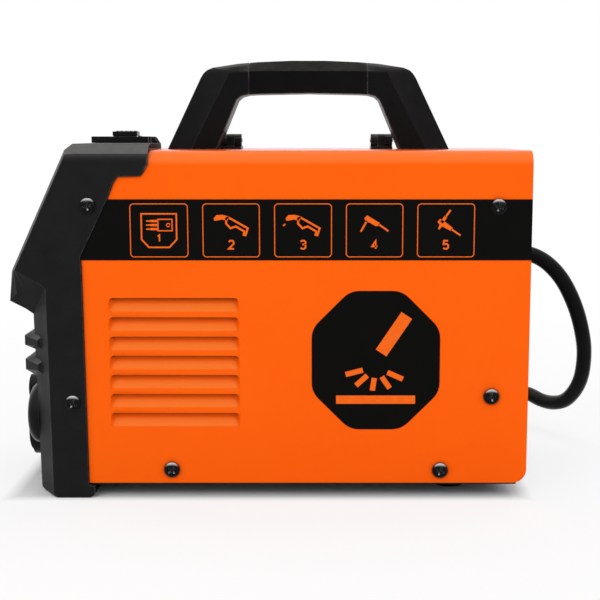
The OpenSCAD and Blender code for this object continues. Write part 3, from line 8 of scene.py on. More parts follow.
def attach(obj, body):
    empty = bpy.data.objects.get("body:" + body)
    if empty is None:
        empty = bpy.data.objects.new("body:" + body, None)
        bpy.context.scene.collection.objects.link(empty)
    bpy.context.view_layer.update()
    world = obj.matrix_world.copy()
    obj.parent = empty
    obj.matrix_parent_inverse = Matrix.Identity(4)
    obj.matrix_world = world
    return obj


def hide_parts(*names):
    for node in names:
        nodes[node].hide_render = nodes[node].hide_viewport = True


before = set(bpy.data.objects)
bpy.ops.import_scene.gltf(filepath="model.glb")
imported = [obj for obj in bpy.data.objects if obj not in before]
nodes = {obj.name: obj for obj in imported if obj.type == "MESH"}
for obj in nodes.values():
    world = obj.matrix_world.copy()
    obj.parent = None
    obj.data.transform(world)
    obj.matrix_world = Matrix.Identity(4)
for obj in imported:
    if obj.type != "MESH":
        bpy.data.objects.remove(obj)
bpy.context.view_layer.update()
scene = bpy.context.scene
mm = 0.001
print("frame loaded:", len(nodes), "nodes")

# main planes and places of the case, in mm; prints lie a gap off their surface
case = {
    "panelX": 162.3, "faceX": -156.9, "sideY": 75.0, "skinY": 74.0, "stripeY": 74.25, "printGap": 0.02,
    "fanY": -30.0, "fanZ": 72.0, "glandY": 30.0, "glandZ": 152.0,
    "slopeTop": (-135.1, 229.0), "slopeAngle": 25.013, "faciaMid": -43.753,
}

# camera
view = {"place": (0.0334, -0.8287, 0.2385), "tilt": 82.0, "lens": 70.38, "sensor": 36, "shift": -22 / 600}
camera = bpy.data.objects.new("camera", bpy.data.cameras.new("camera"))
scene.collection.objects.link(camera)
camera.location = view["place"]
camera.rotation_euler = (radians(view["tilt"]), 0, 0)
camera.data.lens = view["lens"]
camera.data.sensor_width = view["sensor"]
camera.data.shift_x = view["shift"]
scene.camera = camera


# small node tools: a socket takes a plain value or another node's output
def fill(tree, node, sockets):
    for key, value in sockets.items():
        if isinstance(value, bpy.types.NodeSocket):
            tree.links.new(value, node.inputs[key])
        else:
            node.inputs[key].default_value = value


def put(tree, kind, sockets=None, **settings):
    node = tree.nodes.new(kind)
    for key, value in settings.items():
        setattr(node, key, value)
    fill(tree, node, sockets or {})
    return node


def ranged(tree, source, low, high, toLow=0.0, toHigh=1.0, **settings):
    sockets = {0: source, 1: low, 2: high, 3: toLow, 4: toHigh}
    return put(tree, "ShaderNodeMapRange", sockets, **settings).outputs[0]


def worked(tree, operation, a, b=0.0, **settings):
    return put(tree, "ShaderNodeMath", {0: a, 1: b}, operation=operation, **settings).outputs[0]


def times(tree, a, b):
    return worked(tree, "MULTIPLY", a, b)


def mixed(tree, factor, first, second):
    return put(tree, "ShaderNodeMix", {0: factor, 6: first, 7: second}, data_type="RGBA").outputs[2]


def noise(tree, scale, detail, roughness=0.5, vector=None):
    if vector is None:
        vector = put(tree, "ShaderNodeTexCoord").outputs["Object"]
    return put(tree, "ShaderNodeTexNoise", {"Vector": vector, "Scale": scale, "Detail": detail,
                                            "Roughness": roughness}).outputs[0]


# shared effects
def newGroup(name, inputs, outputs=("Mask",)):
    tree = bpy.data.node_groups.new(name, "ShaderNodeTree")
    for label, value in inputs.items():
        kind = "NodeSocketVector" if isinstance(value, tuple) else "NodeSocketFloat"
        socket = tree.interface.new_socket(name=label, in_out="INPUT", socket_type=kind)
        socket.default_value = value
    for label in outputs:
        tree.interface.new_socket(name=label, in_out="OUTPUT", socket_type="NodeSocketFloat")
    return tree, put(tree, "NodeGroupInput").outputs


def makeGrain():
    tree, given = newGroup("surface grain", {"Grain Scale": 1500.0, "Cloud Scale": 25.0}, ("Grain", "Cloud"))
    fine = noise(tree, given["Grain Scale"], 2.0, 0.6)
    broad = noise(tree, given["Cloud Scale"], 4.0, 0.65)
    put(tree, "NodeGroupOutput", {"Grain": ranged(tree, fine, 0.3, 0.7),
                                  "Cloud": ranged(tree, broad, 0.3, 0.7)})
    return tree


def makeEdgeWearAndHighlight():
    # lighter edges: edge wear, and on some finishes a painted highlight along edges and creases
    tree, given = newGroup("worn edges and painted highlight", {"Radius": 0.0008, "Breakup Scale": 300.0, "Amount": 0.5,
                                         "Softest Edge": 0.99, "Full At": 0.86})
    around = put(tree, "ShaderNodeBevel", {"Radius": given["Radius"]}, samples=4)
    surface = put(tree, "ShaderNodeNewGeometry")
    facing = put(tree, "ShaderNodeVectorMath", {0: around.outputs[0], 1: surface.outputs["Normal"]},
                 operation="DOT_PRODUCT")
    edge = ranged(tree, facing.outputs["Value"], given["Softest Edge"], given["Full At"])
    patches = ranged(tree, noise(tree, given["Breakup Scale"], 3.0), 0.35, 0.62, 0.25, 1.0)
    broken = times(tree, edge, patches)
    put(tree, "NodeGroupOutput", {"Mask": times(tree, broken, given["Amount"])})
    return tree


def makeDust():
    tree, given = newGroup("settled dust", {"Amount": 0.1, "Scale": 120.0})
    surface = put(tree, "ShaderNodeNewGeometry")
    upward = put(tree, "ShaderNodeSeparateXYZ", {0: surface.outputs["Normal"]})
    specks = ranged(tree, noise(tree, given["Scale"], 6.0, 0.7), 0.3, 0.7)
    spread = times(tree, ranged(tree, upward.outputs["Z"], 0.2, 1.0), specks)
    put(tree, "NodeGroupOutput", {"Mask": times(tree, spread, given["Amount"])})
    return tree


def makePaintedShoulderHighlight():
    # a painted highlight, strongest where a side rolls over towards the top
    tree, given = newGroup("painted shoulder highlight", {"Amount": 0.2, "Start": 0.3, "Full At": 0.9})
    place = put(tree, "ShaderNodeTexCoord")
    facing = put(tree, "ShaderNodeSeparateXYZ", {0: place.outputs["Normal"]}).outputs
    sideways = worked(tree, "ABSOLUTE", facing["Y"])
    rolled = times(tree, times(tree, sideways, facing["Z"]), 2.0)
    spread = ranged(tree, rolled, given["Start"], given["Full At"], interpolation_type="SMOOTHSTEP")
    put(tree, "NodeGroupOutput", {"Mask": times(tree, spread, given["Amount"])})
    return tree


def makePaintedCornerShade():
    # painted shade, darker where other surfaces stand close: in corners, recesses and beside proud parts
    tree, given = newGroup("painted corner shade", {"Amount": 0.5, "Reach": 0.005})
    hidden = put(tree, "ShaderNodeAmbientOcclusion", {"Distance": given["Reach"]}, samples=8)
    deep = ranged(tree, hidden.outputs["AO"], 0.97, 0.45)
    put(tree, "NodeGroupOutput", {"Mask": times(tree, deep, given["Amount"])})
    return tree


def makeBrushed():
    tree, given = newGroup("brushed lines", {"Stretch": (40.0, 2500.0, 2500.0)}, ("Lines",))
    place = put(tree, "ShaderNodeTexCoord")
    stretch = put(tree, "ShaderNodeVectorMath", {0: place.outputs["Object"], 1: given["Stretch"]},
                  operation="MULTIPLY")
    lines = noise(tree, 1.0, 2.0, vector=stretch.outputs[0])
    put(tree, "NodeGroupOutput", {"Lines": ranged(tree, lines, 0.3, 0.7)})
    return tree


def makeBands():
    # even ridges across one axis, such as wound wire
    tree, given = newGroup("even ridges", {"Axis": (0.0, 1.0, 0.0), "Pitch": 0.001}, ("Ridge",))
    place = put(tree, "ShaderNodeTexCoord")
    along = put(tree, "ShaderNodeVectorMath", {0: place.outputs["Object"], 1: given["Axis"]},
                operation="DOT_PRODUCT")
    turned = worked(tree, "DIVIDE", along.outputs["Value"], given["Pitch"])
    wave = worked(tree, "SINE", times(tree, turned, pi))
    put(tree, "NodeGroupOutput", {"Ridge": worked(tree, "ABSOLUTE", wave)})
    return tree


effects = {"grain": makeGrain(), "wearAndHighlight": makeEdgeWearAndHighlight(), "dust": makeDust(), "brushed": makeBrushed(),
           "paintedHighlight": makePaintedShoulderHighlight(), "paintedShade": makePaintedCornerShade(), "bands": makeBands()}
print("shared effects ready")

# what every finish shares: the colour of dust, how much it dulls, and how dark the painted shade in grooves
# is
common = {"dust": (168, 160, 150), "dustDulls": 0.4, "groove": 0.45}


def shade(colour, part=1.0):
    # a written colour, or a part of its brightness
    def linear(c):
        c /= 255
        return c / 12.92 if c <= 0.04045 else ((c + 0.055) / 1.055) ** 2.4
    return tuple(part * linear(c) for c in colour) + (1.0,)


def effect(tree, kind, values):
    return put(tree, "ShaderNodeGroup", values, node_tree=effects[kind]).outputs


def finish(name, colour, second, rough, height, grain=1500.0, cloud=25.0, metallic=0.0, specular=0.3,
           gloss=0.0, glossRough=0.1, grazing=0.0, flatFrom=(0.5, 0.86), lines=None, bands=None, glow=0.0,
           wearAndHighlight=None, edgeMaskRadius=0.8, breakup=300.0, softEdge=(0.99, 0.86), dust=0.0, paintedHighlight=None, paintedShade=None):
    # colour and second are mixed in clouds; edge wear with painted edge highlight, painted highlight and
    # painted shade start with the colour that they lay over
    material = bpy.data.materials.new(name)
    material.use_nodes = True
    tree = material.node_tree
    shader = tree.nodes["Principled BSDF"]
    surface = effect(tree, "grain", {"Grain Scale": grain, "Cloud Scale": cloud})
    relief, pattern = surface["Grain"], surface["Cloud"]
    shown = mixed(tree, pattern, shade(colour), shade(second))

    def laid(kind, over, values):
        nonlocal shown
        mask = effect(tree, kind, values)["Mask"]
        shown = mixed(tree, mask, shown, shade(over))
        return mask

    if lines:
        brushed = effect(tree, "brushed", {"Stretch": lines[0]})["Lines"]
        relief = worked(tree, "ADD", relief, times(tree, brushed, lines[1]))
        pattern = times(tree, pattern, brushed)
    if bands:
        ridge = effect(tree, "bands", {"Axis": bands[0], "Pitch": bands[1]})["Ridge"]
        relief = worked(tree, "ADD", relief, times(tree, ridge, bands[2]))
        # painted shade in the grooves between wound turns
        shown = mixed(tree, ridge, shade(colour, common["groove"]), shown)
    roughness = ranged(tree, pattern, 0.0, 1.0, rough[0], rough[1])
    # painted shade in corners and beside proud parts
    if paintedShade:
        laid("paintedShade", paintedShade[0], {"Amount": paintedShade[1], "Reach": paintedShade[2] * mm})
    # painted highlight on rolled edges and domes
    if paintedHighlight:
        laid("paintedHighlight", paintedHighlight[0], {"Amount": paintedHighlight[1], "Start": paintedHighlight[2], "Full At": paintedHighlight[3]})
    # edge wear, and on the handle, grip, screws and orange paint partly a painted highlight along edges
    if wearAndHighlight:
        laid("wearAndHighlight", wearAndHighlight[0], {"Amount": wearAndHighlight[1], "Radius": edgeMaskRadius * mm, "Breakup Scale": breakup,
                               "Softest Edge": softEdge[0], "Full At": softEdge[1]})
    if dust:
        film = laid("dust", common["dust"], {"Amount": dust})
        roughness = worked(tree, "ADD", roughness, times(tree, film, common["dustDulls"]))
    if grazing:  # gloss that shows where the surface is seen at a flat angle
        flat = put(tree, "ShaderNodeLayerWeight", {"Blend": 0.5}).outputs["Facing"]
        gloss = ranged(tree, flat, flatFrom[0], flatFrom[1], gloss, grazing)
    bump = put(tree, "ShaderNodeBump", {"Strength": 1.0, "Distance": height * mm, "Height": relief})
    fill(tree, shader, {"Base Color": shown, "Roughness": roughness, "Normal": bump.outputs[0],
                        "Metallic": metallic, "Coat Weight": gloss, "Coat Roughness": glossRough,
                        "Specular IOR Level": specular})
    if glow:
        fill(tree, shader, {"Emission Color": shown, "Emission Strength": glow})
    return material


powderCoat = {"colour": (255, 101, 8), "second": (255, 97, 7), "rough": (0.36, 0.46), "height": 0.012,
              "grain": 900.0, "cloud": 9.0, "specular": 0.05, "glossRough": 0.24, "grazing": 1.0}
printedInk = {"rough": (0.45, 0.6), "height": 0.006, "grain": 2600.0, "cloud": 300.0}
finishes = {
    # on the orange paint the lighter band along the rolled top edges is a painted highlight, the darkening in
    # corners and beside proud parts is painted shade, and the lighter edges are partly a painted highlight
    "orangePaint": finish("powder coat orange", **powderCoat, wearAndHighlight=((255, 150, 80), 0.35), breakup=180.0,
        dust=0.04, paintedHighlight=((255, 152, 84), 0.26, 0.15, 0.85), paintedShade=((120, 20, 2), 0.9, 5.0)),
    # a copy of the orange paint for the louvres, with its own painted highlight on the lower part of each
    # scoop and its own painted shade
    "orangeLouvreLight": finish("powder coat with painted louvre light", **powderCoat, dust=0.02,
        paintedHighlight=((255, 156, 70), 0.34, 0.5, 1.0), paintedShade=((130, 20, 0), 0.6, 5.0)),
    # the lighter band where the bezel rolls over onto its top is a painted highlight
    "bezelPlastic": finish("textured black plastic", (25, 25, 26), (20, 20, 21), (0.5, 0.62), 0.07, 2100.0,
        40.0, specular=0.08, glossRough=0.4, grazing=0.16, wearAndHighlight=((110, 110, 111), 0.35), edgeMaskRadius=1.2,
        dust=0.12, paintedHighlight=((150, 150, 150), 0.3, 0.15, 1.0)),
    # on the handle plastic and the grip rubber the light lines along edges and creases are painted highlights
    "handlePlastic": finish("handle plastic", (12, 12, 13), (9, 9, 10), (0.48, 0.6), 0.06, 1900.0, 35.0,
        specular=0.07, glossRough=0.35, grazing=0.5, wearAndHighlight=((120, 120, 122), 0.75), softEdge=(0.995, 0.95),
        dust=0.07),
    "gripRubber": finish("grip rubber", (11, 11, 12), (8, 8, 9), (0.6, 0.75), 0.05, 3200.0, 30.0,
        specular=0.06, glossRough=0.45, grazing=0.3, wearAndHighlight=((80, 80, 82), 0.45), softEdge=(0.995, 0.93),
        dust=0.07),
    "stripeInk": finish("satin black ink", (10, 9, 8), (7, 7, 6), (0.34, 0.46), 0.008, 1200.0,
        specular=0.04, glossRough=0.24, grazing=0.8, wearAndHighlight=((60, 40, 28), 0.3), edgeMaskRadius=0.4),
    "orangeInk": finish("orange print", (252, 108, 22), (240, 100, 20), **printedInk, specular=0.1),
    "whiteInk": finish("white print", (226, 226, 222), (205, 205, 200), **printedInk),
    "glossBlack": finish("gloss facia", (10, 10, 11), (7, 7, 8), (0.12, 0.2), 0.004, 700.0, gloss=0.6,
        glossRough=0.06, wearAndHighlight=((52, 52, 54), 0.3), dust=0.05),
    "redWindow": finish("red window", (46, 8, 8), (34, 6, 6), (0.08, 0.14), 0.003, 500.0, gloss=0.8,
        glossRough=0.04),
    "litSegment": finish("lit segment", (255, 66, 38), (244, 52, 30), (0.3, 0.4), 0.002, cloud=400.0,
        glow=0.9),
    "dimSegment": finish("unlit segment", (62, 12, 10), (52, 10, 9), (0.2, 0.3), 0.002, cloud=400.0),
    "greenLamp": finish("green lamp", (70, 190, 84), (48, 160, 66), (0.16, 0.26), 0.004, cloud=600.0,
        gloss=0.5, glow=0.25),
    "buttonGrey": finish("grey button", (196, 197, 198), (182, 183, 185), (0.4, 0.5), 0.02, 2400.0, 120.0,
        wearAndHighlight=((226, 226, 226), 0.4), dust=0.05),
    "blackPlastic": finish("moulded black plastic", (16, 16, 17), (12, 12, 13), (0.42, 0.54), 0.03, 2200.0,
        60.0, specular=0.1, glossRough=0.3, grazing=0.6, wearAndHighlight=((78, 78, 80), 0.4), dust=0.1),
    # the light crescents on the upper part of each screw head are a painted highlight, and its bright edges
    # are partly a painted highlight
    "screwBlack": finish("black screw steel", (10, 10, 11), (7, 7, 8), (0.16, 0.28), 0.01, cloud=400.0,
        specular=0.08, glossRough=0.08, grazing=1.0, flatFrom=(0.25, 0.6), wearAndHighlight=((190, 190, 192), 0.4),
        edgeMaskRadius=0.3, breakup=900.0, paintedHighlight=((225, 226, 228), 0.75, 0.45, 0.95)),
    "blackSteel": finish("black painted steel", (27, 27, 28), (22, 22, 22), (0.4, 0.52), 0.02, 1000.0,
        specular=0.1, glossRough=0.3, grazing=0.6, wearAndHighlight=((120, 116, 110), 0.4), dust=0.14),
    "zincSteel": finish("zinc plated steel", (176, 177, 180), (150, 152, 156), (0.26, 0.42), 0.01, 900.0,
        70.0, metallic=0.9, lines=((60.0, 1800.0, 60.0), 1.0), wearAndHighlight=((222, 222, 224), 0.4), dust=0.08),
    "brass": finish("machined brass", (198, 158, 84), (170, 128, 62), (0.2, 0.34), 0.008, cloud=160.0,
        metallic=1.0, lines=((3000.0, 30.0, 30.0), 1.0), wearAndHighlight=((235, 206, 140), 0.5), dust=0.05),
    "aluminium": finish("extruded aluminium", (190, 192, 194), (168, 170, 173), (0.3, 0.45), 0.012,
        cloud=60.0, metallic=0.9, lines=((20.0, 1900.0, 1900.0), 1.2), dust=0.08),
    "castGrey": finish("cast feeder body", (52, 53, 55), (42, 43, 45), (0.5, 0.64), 0.06, 800.0,
        metallic=0.2, wearAndHighlight=((140, 140, 142), 0.5), dust=0.12),
    "motorGrey": finish("motor housing", (98, 100, 104), (80, 82, 86), (0.36, 0.5), 0.012, metallic=0.6,
        lines=((30.0, 900.0, 30.0), 1.0), dust=0.08),
    "copperWire": finish("wound wire", (205, 138, 92), (176, 108, 66), (0.24, 0.36), 0.05, cloud=140.0,
        metallic=1.0, bands=((0.0, 1.0, 0.0), 0.0009, 6.0)),
    "copperCoil": finish("enamelled winding", (176, 92, 42), (140, 66, 28), (0.3, 0.42), 0.08, cloud=120.0,
        metallic=0.7, bands=((0.0, 1.0, 0.0), 0.0022, 6.0), dust=0.08),
    "ferrite": finish("ferrite core", (48, 48, 50), (36, 36, 38), (0.55, 0.7), 0.03, 1200.0, dust=0.14),
    "capacitorBlue": finish("sleeved capacitor", (26, 44, 88), (20, 34, 70), (0.28, 0.4), 0.01, 500.0,
        gloss=0.3, wearAndHighlight=((80, 96, 130), 0.3), dust=0.1),
    "boardGreen": finish("circuit board", (22, 84, 48), (14, 62, 36), (0.3, 0.46), 0.02, 380.0, 260.0,
        gloss=0.3, dust=0.1),
    "redPlastic": finish("red rocker", (176, 26, 20), (150, 20, 16), (0.3, 0.42), 0.012, 2000.0,
        wearAndHighlight=((214, 90, 80), 0.4), dust=0.05),
    "cableRubber": finish("cable sheath", (9, 9, 10), (7, 7, 8), (0.42, 0.58), 0.03, 1700.0, 60.0,
        specular=0.07, glossRough=0.35, grazing=0.7, dust=0.12),
}
print("finishes ready:", len(finishes))


# small mesh tools
def coat(piece, finishName):
    piece.data.materials.clear()
    piece.data.materials.append(finishes[finishName])


def newPiece(name, mesh, body, finishName, smooth=True):
    piece = bpy.data.objects.new(name, mesh)
    scene.collection.objects.link(piece)
    for face in mesh.polygons:
        face.use_smooth = smooth
    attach(piece, body)
    coat(piece, finishName)
    return piece


def meshFrom(name, points, faces):
    mesh = bpy.data.meshes.new(name)
    mesh.from_pydata([Vector(p) * mm for p in points], [], faces)
    mesh.validate()
    shape = bmesh.new()
    shape.from_mesh(mesh)
    bmesh.ops.recalc_face_normals(shape, faces=shape.faces)
    shape.to_mesh(mesh)
    shape.free()
    return mesh


def angles(sides):
    return [2 * pi * i / sides for i in range(sides)]


class Shape:
    # collects points and faces in mm, one part after the other

    def __init__(self):
        self.points = []
        self.faces = []

    def add(self, points, faces):
        base = len(self.points)
        self.points += [tuple(p) for p in points]
        self.faces += [tuple(base + i for i in f) for f in faces]

    def rings(self, rings, caps=True):
        count = len(rings[0])
        points = [p for ring in rings for p in ring]
        faces = []
        for i in range(len(rings) - 1):
            for j in range(count):
                k = (j + 1) % count
                faces.append((i * count + j, i * count + k, (i + 1) * count + k, (i + 1) * count + j))
        if caps:
            faces.append(tuple(range(count)))
            faces.append(tuple((len(rings) - 1) * count + j for j in range(count)))
        self.add(points, faces)

    def turned(self, profile, place, sides=48, wave=None):
        # profile is a list of (distance along the axis, radius); place maps (along, u, v)
        rings = []
        for along, radius in profile:
            reach = [(a, wave(along, radius, a) if wave else radius) for a in angles(sides)]
            rings.append([place(along, r * cos(a), r * sin(a)) for a, r in reach])
        self.rings(rings)

    def box(self, low, high):
        x, y, z = zip(low, high)
        points = [(a, b, c) for a in x for b in y for c in z]
        self.add(points, [(0, 1, 3, 2), (4, 6, 7, 5), (0, 4, 5, 1), (2, 3, 7, 6), (0, 2, 6, 4), (1, 5, 7, 3)])

    def tube(self, path, radius, sides=12, closed=False):
        path = [Vector(p) for p in path]
        rings = []
        normal = None
        for i, p in enumerate(path):
            after = path[(i + 1) % len(path)] if closed else path[min(i + 1, len(path) - 1)]
            before = path[i - 1] if closed or i else path[0]
            ahead = (after - before).normalized()
            if normal is None:
                normal = ahead.orthogonal().normalized()
            normal = (normal - ahead * normal.dot(ahead)).normalized()
            side = ahead.cross(normal)
            rings.append([p + radius * (normal * cos(a) + side * sin(a)) for a in angles(sides)])
        if closed:
            rings.append(rings[0])
        self.rings(rings, caps=not closed)

    def piece(self, name, body, slotName, finishName, smooth=True):
        return newPiece(name, meshFrom(name, self.points, self.faces), body, finishName, smooth)


rounding = {"weldReach": 0.00001, "flatAngle": 0.6, "evenWeight": 60}


def soften(piece, width, steps=2, angle=30, weld=False):
    # a rounded edge and even shading, as modifiers
    if weld:
        joinUp = piece.modifiers.new("weld", "WELD")
        joinUp.merge_threshold = rounding["weldReach"]
    if weld and width:
        flat = piece.modifiers.new("flat", "DECIMATE")
        flat.decimate_type = "DISSOLVE"
        flat.angle_limit = radians(rounding["flatAngle"])
    if width:
        edge = piece.modifiers.new("edge", "BEVEL")
        edge.width = width * mm
        edge.segments = steps
        edge.limit_method = "ANGLE"
        edge.angle_limit = radians(angle)
    even = piece.modifiers.new("even", "WEIGHTED_NORMAL")
    even.weight = rounding["evenWeight"]


def alongX(x0, y0, z0):
    return lambda along, u, v: (x0 + along, y0 + u, z0 + v)


def alongY(x0, y0, z0, way):
    return lambda along, u, v: (x0 + u, y0 + way * along, z0 + v)


def onSlope(x, y, z):
    a = radians(case["slopeAngle"])
    top = case["slopeTop"]
    return (top[0] + x * cos(a) + z * sin(a), y, top[1] - x * sin(a) + z * cos(a))


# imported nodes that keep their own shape, by finish: edge width in mm, steps
dressing = {
    "bezelPlastic": {"front_bezel": (1.1, 3)},
    "glossBlack": {"control_facia": (0.3, 2)},
    "redWindow": {"display_window": (0.15, 1)},
    "greenLamp": {"status_lamps": (0.5, 3)},
    "buttonGrey": {"mode_button": (0.6, 3), "trigger_button": (0.6, 3)},
    "boardGreen": {"control_board": (0.15, 1), "main_board": (0.1, 1)},
    "orangePaint": {"main_cover": (0, 0), "side_door": (0.3, 2)},
    "stripeInk": {"side_stripe": (0, 0)},
    "blackPlastic": {"connector_panel": (0.4, 2), "torch_insulator": (0.5, 2), "socket_bodies": (0.5, 2),
        "latch_base": (0.6, 3), "latch_slider": (0.6, 3), "switch_frame": (0.5, 2), "fan_frame": (0.4, 2),
        "fan_rotor": (0.2, 1), "spool_shaft": (0.3, 2), "spool_hub": (0.3, 2), "spool_nut": (0.5, 2),
        "wire_spool": (0.4, 2), "tension_lever": (0.5, 2)},
    "brass": {"torch_connector": (0.35, 2), "socket_cores": (0.3, 2), "gas_inlet": (0.25, 2),
        "gas_valve": (0.3, 2), "inlet_guide": (0.2, 1), "outlet_guide": (0.2, 1)},
    "zincSteel": {"front_frame": (0.2, 1), "bulkhead": (0.3, 1), "hinge_pins": (0.3, 2),
        "handle_bolts": (0.3, 1), "drive_roll": (0.2, 1), "pressure_roll": (0.3, 2)},
    "blackSteel": {"base_tray": (0.3, 2), "rear_panel": (0.3, 2), "fixed_hinge_leaves": (0.3, 2),
        "door_hinge_leaves": (0.3, 2)},
    "handlePlastic": {"carry_handle": (0.6, 3)},
    "gripRubber": {"rear_feet": (0.8, 3), "handle_grip": (0.25, 2)},
    "redPlastic": {"mains_rocker": (0.4, 2)},
    "copperWire": {"welding_wire": (0, 0)},
    "castGrey": {"feeder_plate": (0.5, 2), "pressure_arm": (0.5, 2)},
    "motorGrey": {"drive_motor": (0.5, 2)},
    "aluminium": {"heatsinks": (0.3, 1)},
    "capacitorBlue": {"capacitors": (1.2, 3)},
    "ferrite": {"main_transformer": (0.6, 2)},
    "copperCoil": {"output_choke": (1.5, 3)},
    "cableRubber": {"mains_plug": (1.0, 3)},
}
for finishName, dressed in dressing.items():
    for nodeName, (width, steps) in dressed.items():
        coat(nodes[nodeName], finishName)
        soften(nodes[nodeName], width, steps, weld=True)
print("packed nodes dressed:", sum(len(dressed) for dressed in dressing.values()))


# mains cable, coil and plug
cable = {
    "diameter": 11.4, "exit": (178.0, 30, 152), "sides": 5, "fine": 4,
    "way": [[24.8, 30, 151.6], [35.3, 30.5, 146.4], [45.4, 32, 136.9], [53.8, 35, 124.6], [62.1, 40, 107.3],
            [68.1, 46, 88.8], [71.3, 53, 72.9], [71.9, 62, 54.7], [69.4, 72, 40.7], [64.1, 83, 30.1],
            [57.1, 95, 25.3], [49.7, 107, 24.7], [41.9, 119, 27], [31.5, 130, 27.5], [18, 138, 24.5],
            [2, 141, 19], [-15, 140, 13.2], [-33, 136.5, 9], [-52, 132, 6.6], [-75, 128.2, 5.8],
            [-95, 126.3, 5.7]],
    "coilCentre": (35.3, 197), "coilRadius": 59, "gap": 0.7, "layerTurns": 2, "perTurn": 24, "plugZ": 18,
    "lead": 1.2,
}


def eased(s):
    s = min(max(s, 0), 1)
    return s * s * (3 - 2 * s)


def coilPoints():
    pitch = cable["diameter"] + cable["gap"]
    layers = cable["layerTurns"]
    outer = cable["coilRadius"] + pitch * layers / 2
    inner = cable["coilRadius"] - pitch * layers / 2
    turns = 2 * layers + 0.5
    half = cable["diameter"] / 2
    midX, midY = cable["coilCentre"]
    points = []
    for i in range(int(cable["perTurn"] * turns) + 1):
        t = i / cable["perTurn"]
        if t < layers:
            r = outer - pitch * t
        elif t < layers + 0.5:
            r = inner - pitch * (0.25 - abs(t - layers - 0.25))
        else:
            r = inner + pitch * (t - layers - 0.5)
        z = half + pitch * eased((t - layers) / 0.5)
        z += (cable["plugZ"] - half - pitch) * eased((t - turns + 0.2) / 0.2)
        a = radians(-90 - 360 * t)
        points.append((midX + r * cos(a), midY + r * sin(a), z))
    lead = cable["lead"] * cable["diameter"]
    first, last = points[0], points[-1]
    return [(first[0] + lead, first[1], first[2])] + points + [(last[0] + lead, last[1], last[2])]


def finer(points, steps):
    # points on a smooth line through the given ones
    points = [Vector(p) for p in points]
    found = []
    for i in range(len(points) - 1):
        a = points[max(i - 1, 0)]
        b, c = points[i], points[i + 1]
        d = points[min(i + 2, len(points) - 1)]
        for k in range(steps):
            t = k / steps
            found.append(0.5 * (2 * b + (c - a) * t + (2 * a - 5 * b + 4 * c - d) * t * t
                                + (3 * b - a - 3 * c + d) * t ** 3))
    return found + [points[-1]]


cableExit = cable["exit"]
cableLine = [cableExit]
cableLine += [(p[0] + case["panelX"], p[1], p[2]) for p in cable["way"]] + coilPoints()
cableLine = finer(cableLine, cable["fine"])
cableLength = sum((b - a).length for a, b in zip(cableLine, cableLine[1:])) * mm
cableCurve = bpy.data.curves.new("cable", "CURVE")
cableCurve.dimensions = "3D"
cableCurve.bevel_depth = 1.0
cableCurve.bevel_resolution = cable["sides"]
cableCurve.use_fill_caps = True
line = cableCurve.splines.new("POLY")
line.points.add(len(cableLine) - 1)
for point, place in zip(line.points, cableLine):
    point.co = (place[0] * mm, place[1] * mm, place[2] * mm, 1)
    point.radius = cable["diameter"] / 2 * mm
line.use_smooth = True
cablePiece = bpy.data.objects.new("cable", cableCurve)
scene.collection.objects.link(cablePiece)
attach(cablePiece, "case")
coat(cablePiece, "cableRubber")
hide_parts("mains_cable", "cable_coil")

# plug: sleeves on its pins and ribs round its strain relief
plug = {"tail": 46.0, "length": 34.0, "pinLength": 19.0, "pinRadius": 2.43, "pinSpread": 9.5, "ribs": 5,
        "ribStart": 5.0, "ribPitch": 6.4, "ribWire": 0.9, "ribGap": 1.0, "neck": 9.0}


def makePlug():
    x0, y, z = coilPoints()[-1]
    face = x0 + plug["tail"] + plug["length"]
    r, tall = plug["pinRadius"], plug["pinLength"] + 0.04
    pins = Shape()
    for side in (-1, 1):
        pins.turned([(-0.5, r), (tall - 1.8, r), (tall - 0.8, r - 0.35), (tall - 0.2, r - 0.9),
                     (tall, r - 1.5), (tall, 0.2)], alongX(face, y + side * plug["pinSpread"], z), sides=24)
    ribs = Shape()
    thin = cable["diameter"] / 2
    for k in range(plug["ribs"]):
        x = plug["ribStart"] + plug["ribPitch"] * k
        radius = thin + plug["ribGap"] + (plug["neck"] - thin) * x / plug["tail"]
        ribs.tube([(x0 + x, y + radius * cos(a), z + radius * sin(a)) for a in angles(36)],
                  plug["ribWire"], 8, closed=True)
    return (pins.piece("plugPins", "case", "zinc_steel", "zincSteel"),
            ribs.piece("plugRibs", "case", "cable_rubber", "cableRubber"))


plugPins, plugRibs = makePlug()
print("cable laid:", round(cableLength, 3), "m")


# case screws: domed heads with a cross recess
screws = {
    "radius": 5.2, "height": 2.6, "rim": 0.9, "rise": (0.25, 0.5, 0.75, 1.0, 1.2, 1.4),
    "crossLength": 5.6, "crossWidth": 1.15, "crossDepth": 1.5, "crossTaper": 0.55,
    "shank": [(-0.2, 2.0), (7.0, 2.0), (8.0, 1.2)], "edge": (0.12, 2, 35), "turn": (17, 61),
    "cover": [(147.0, 192.8), (144.7, 68.3), (-66.0, 18.9), (111.6, 18.4)],
    "bezel": [(-117.1, 193.5), (-130.2, 64.2)],
}


def cutBy(piece, cutter):
    cut = piece.modifiers.new("cut", "BOOLEAN")
    cut.operation = "DIFFERENCE"
    cut.solver = "EXACT"
    cut.object = cutter
    graph = bpy.context.evaluated_depsgraph_get()
    mesh = bpy.data.meshes.new_from_object(piece.evaluated_get(graph))
    piece.modifiers.clear()
    piece.data = mesh
    bpy.data.objects.remove(cutter)
    return mesh


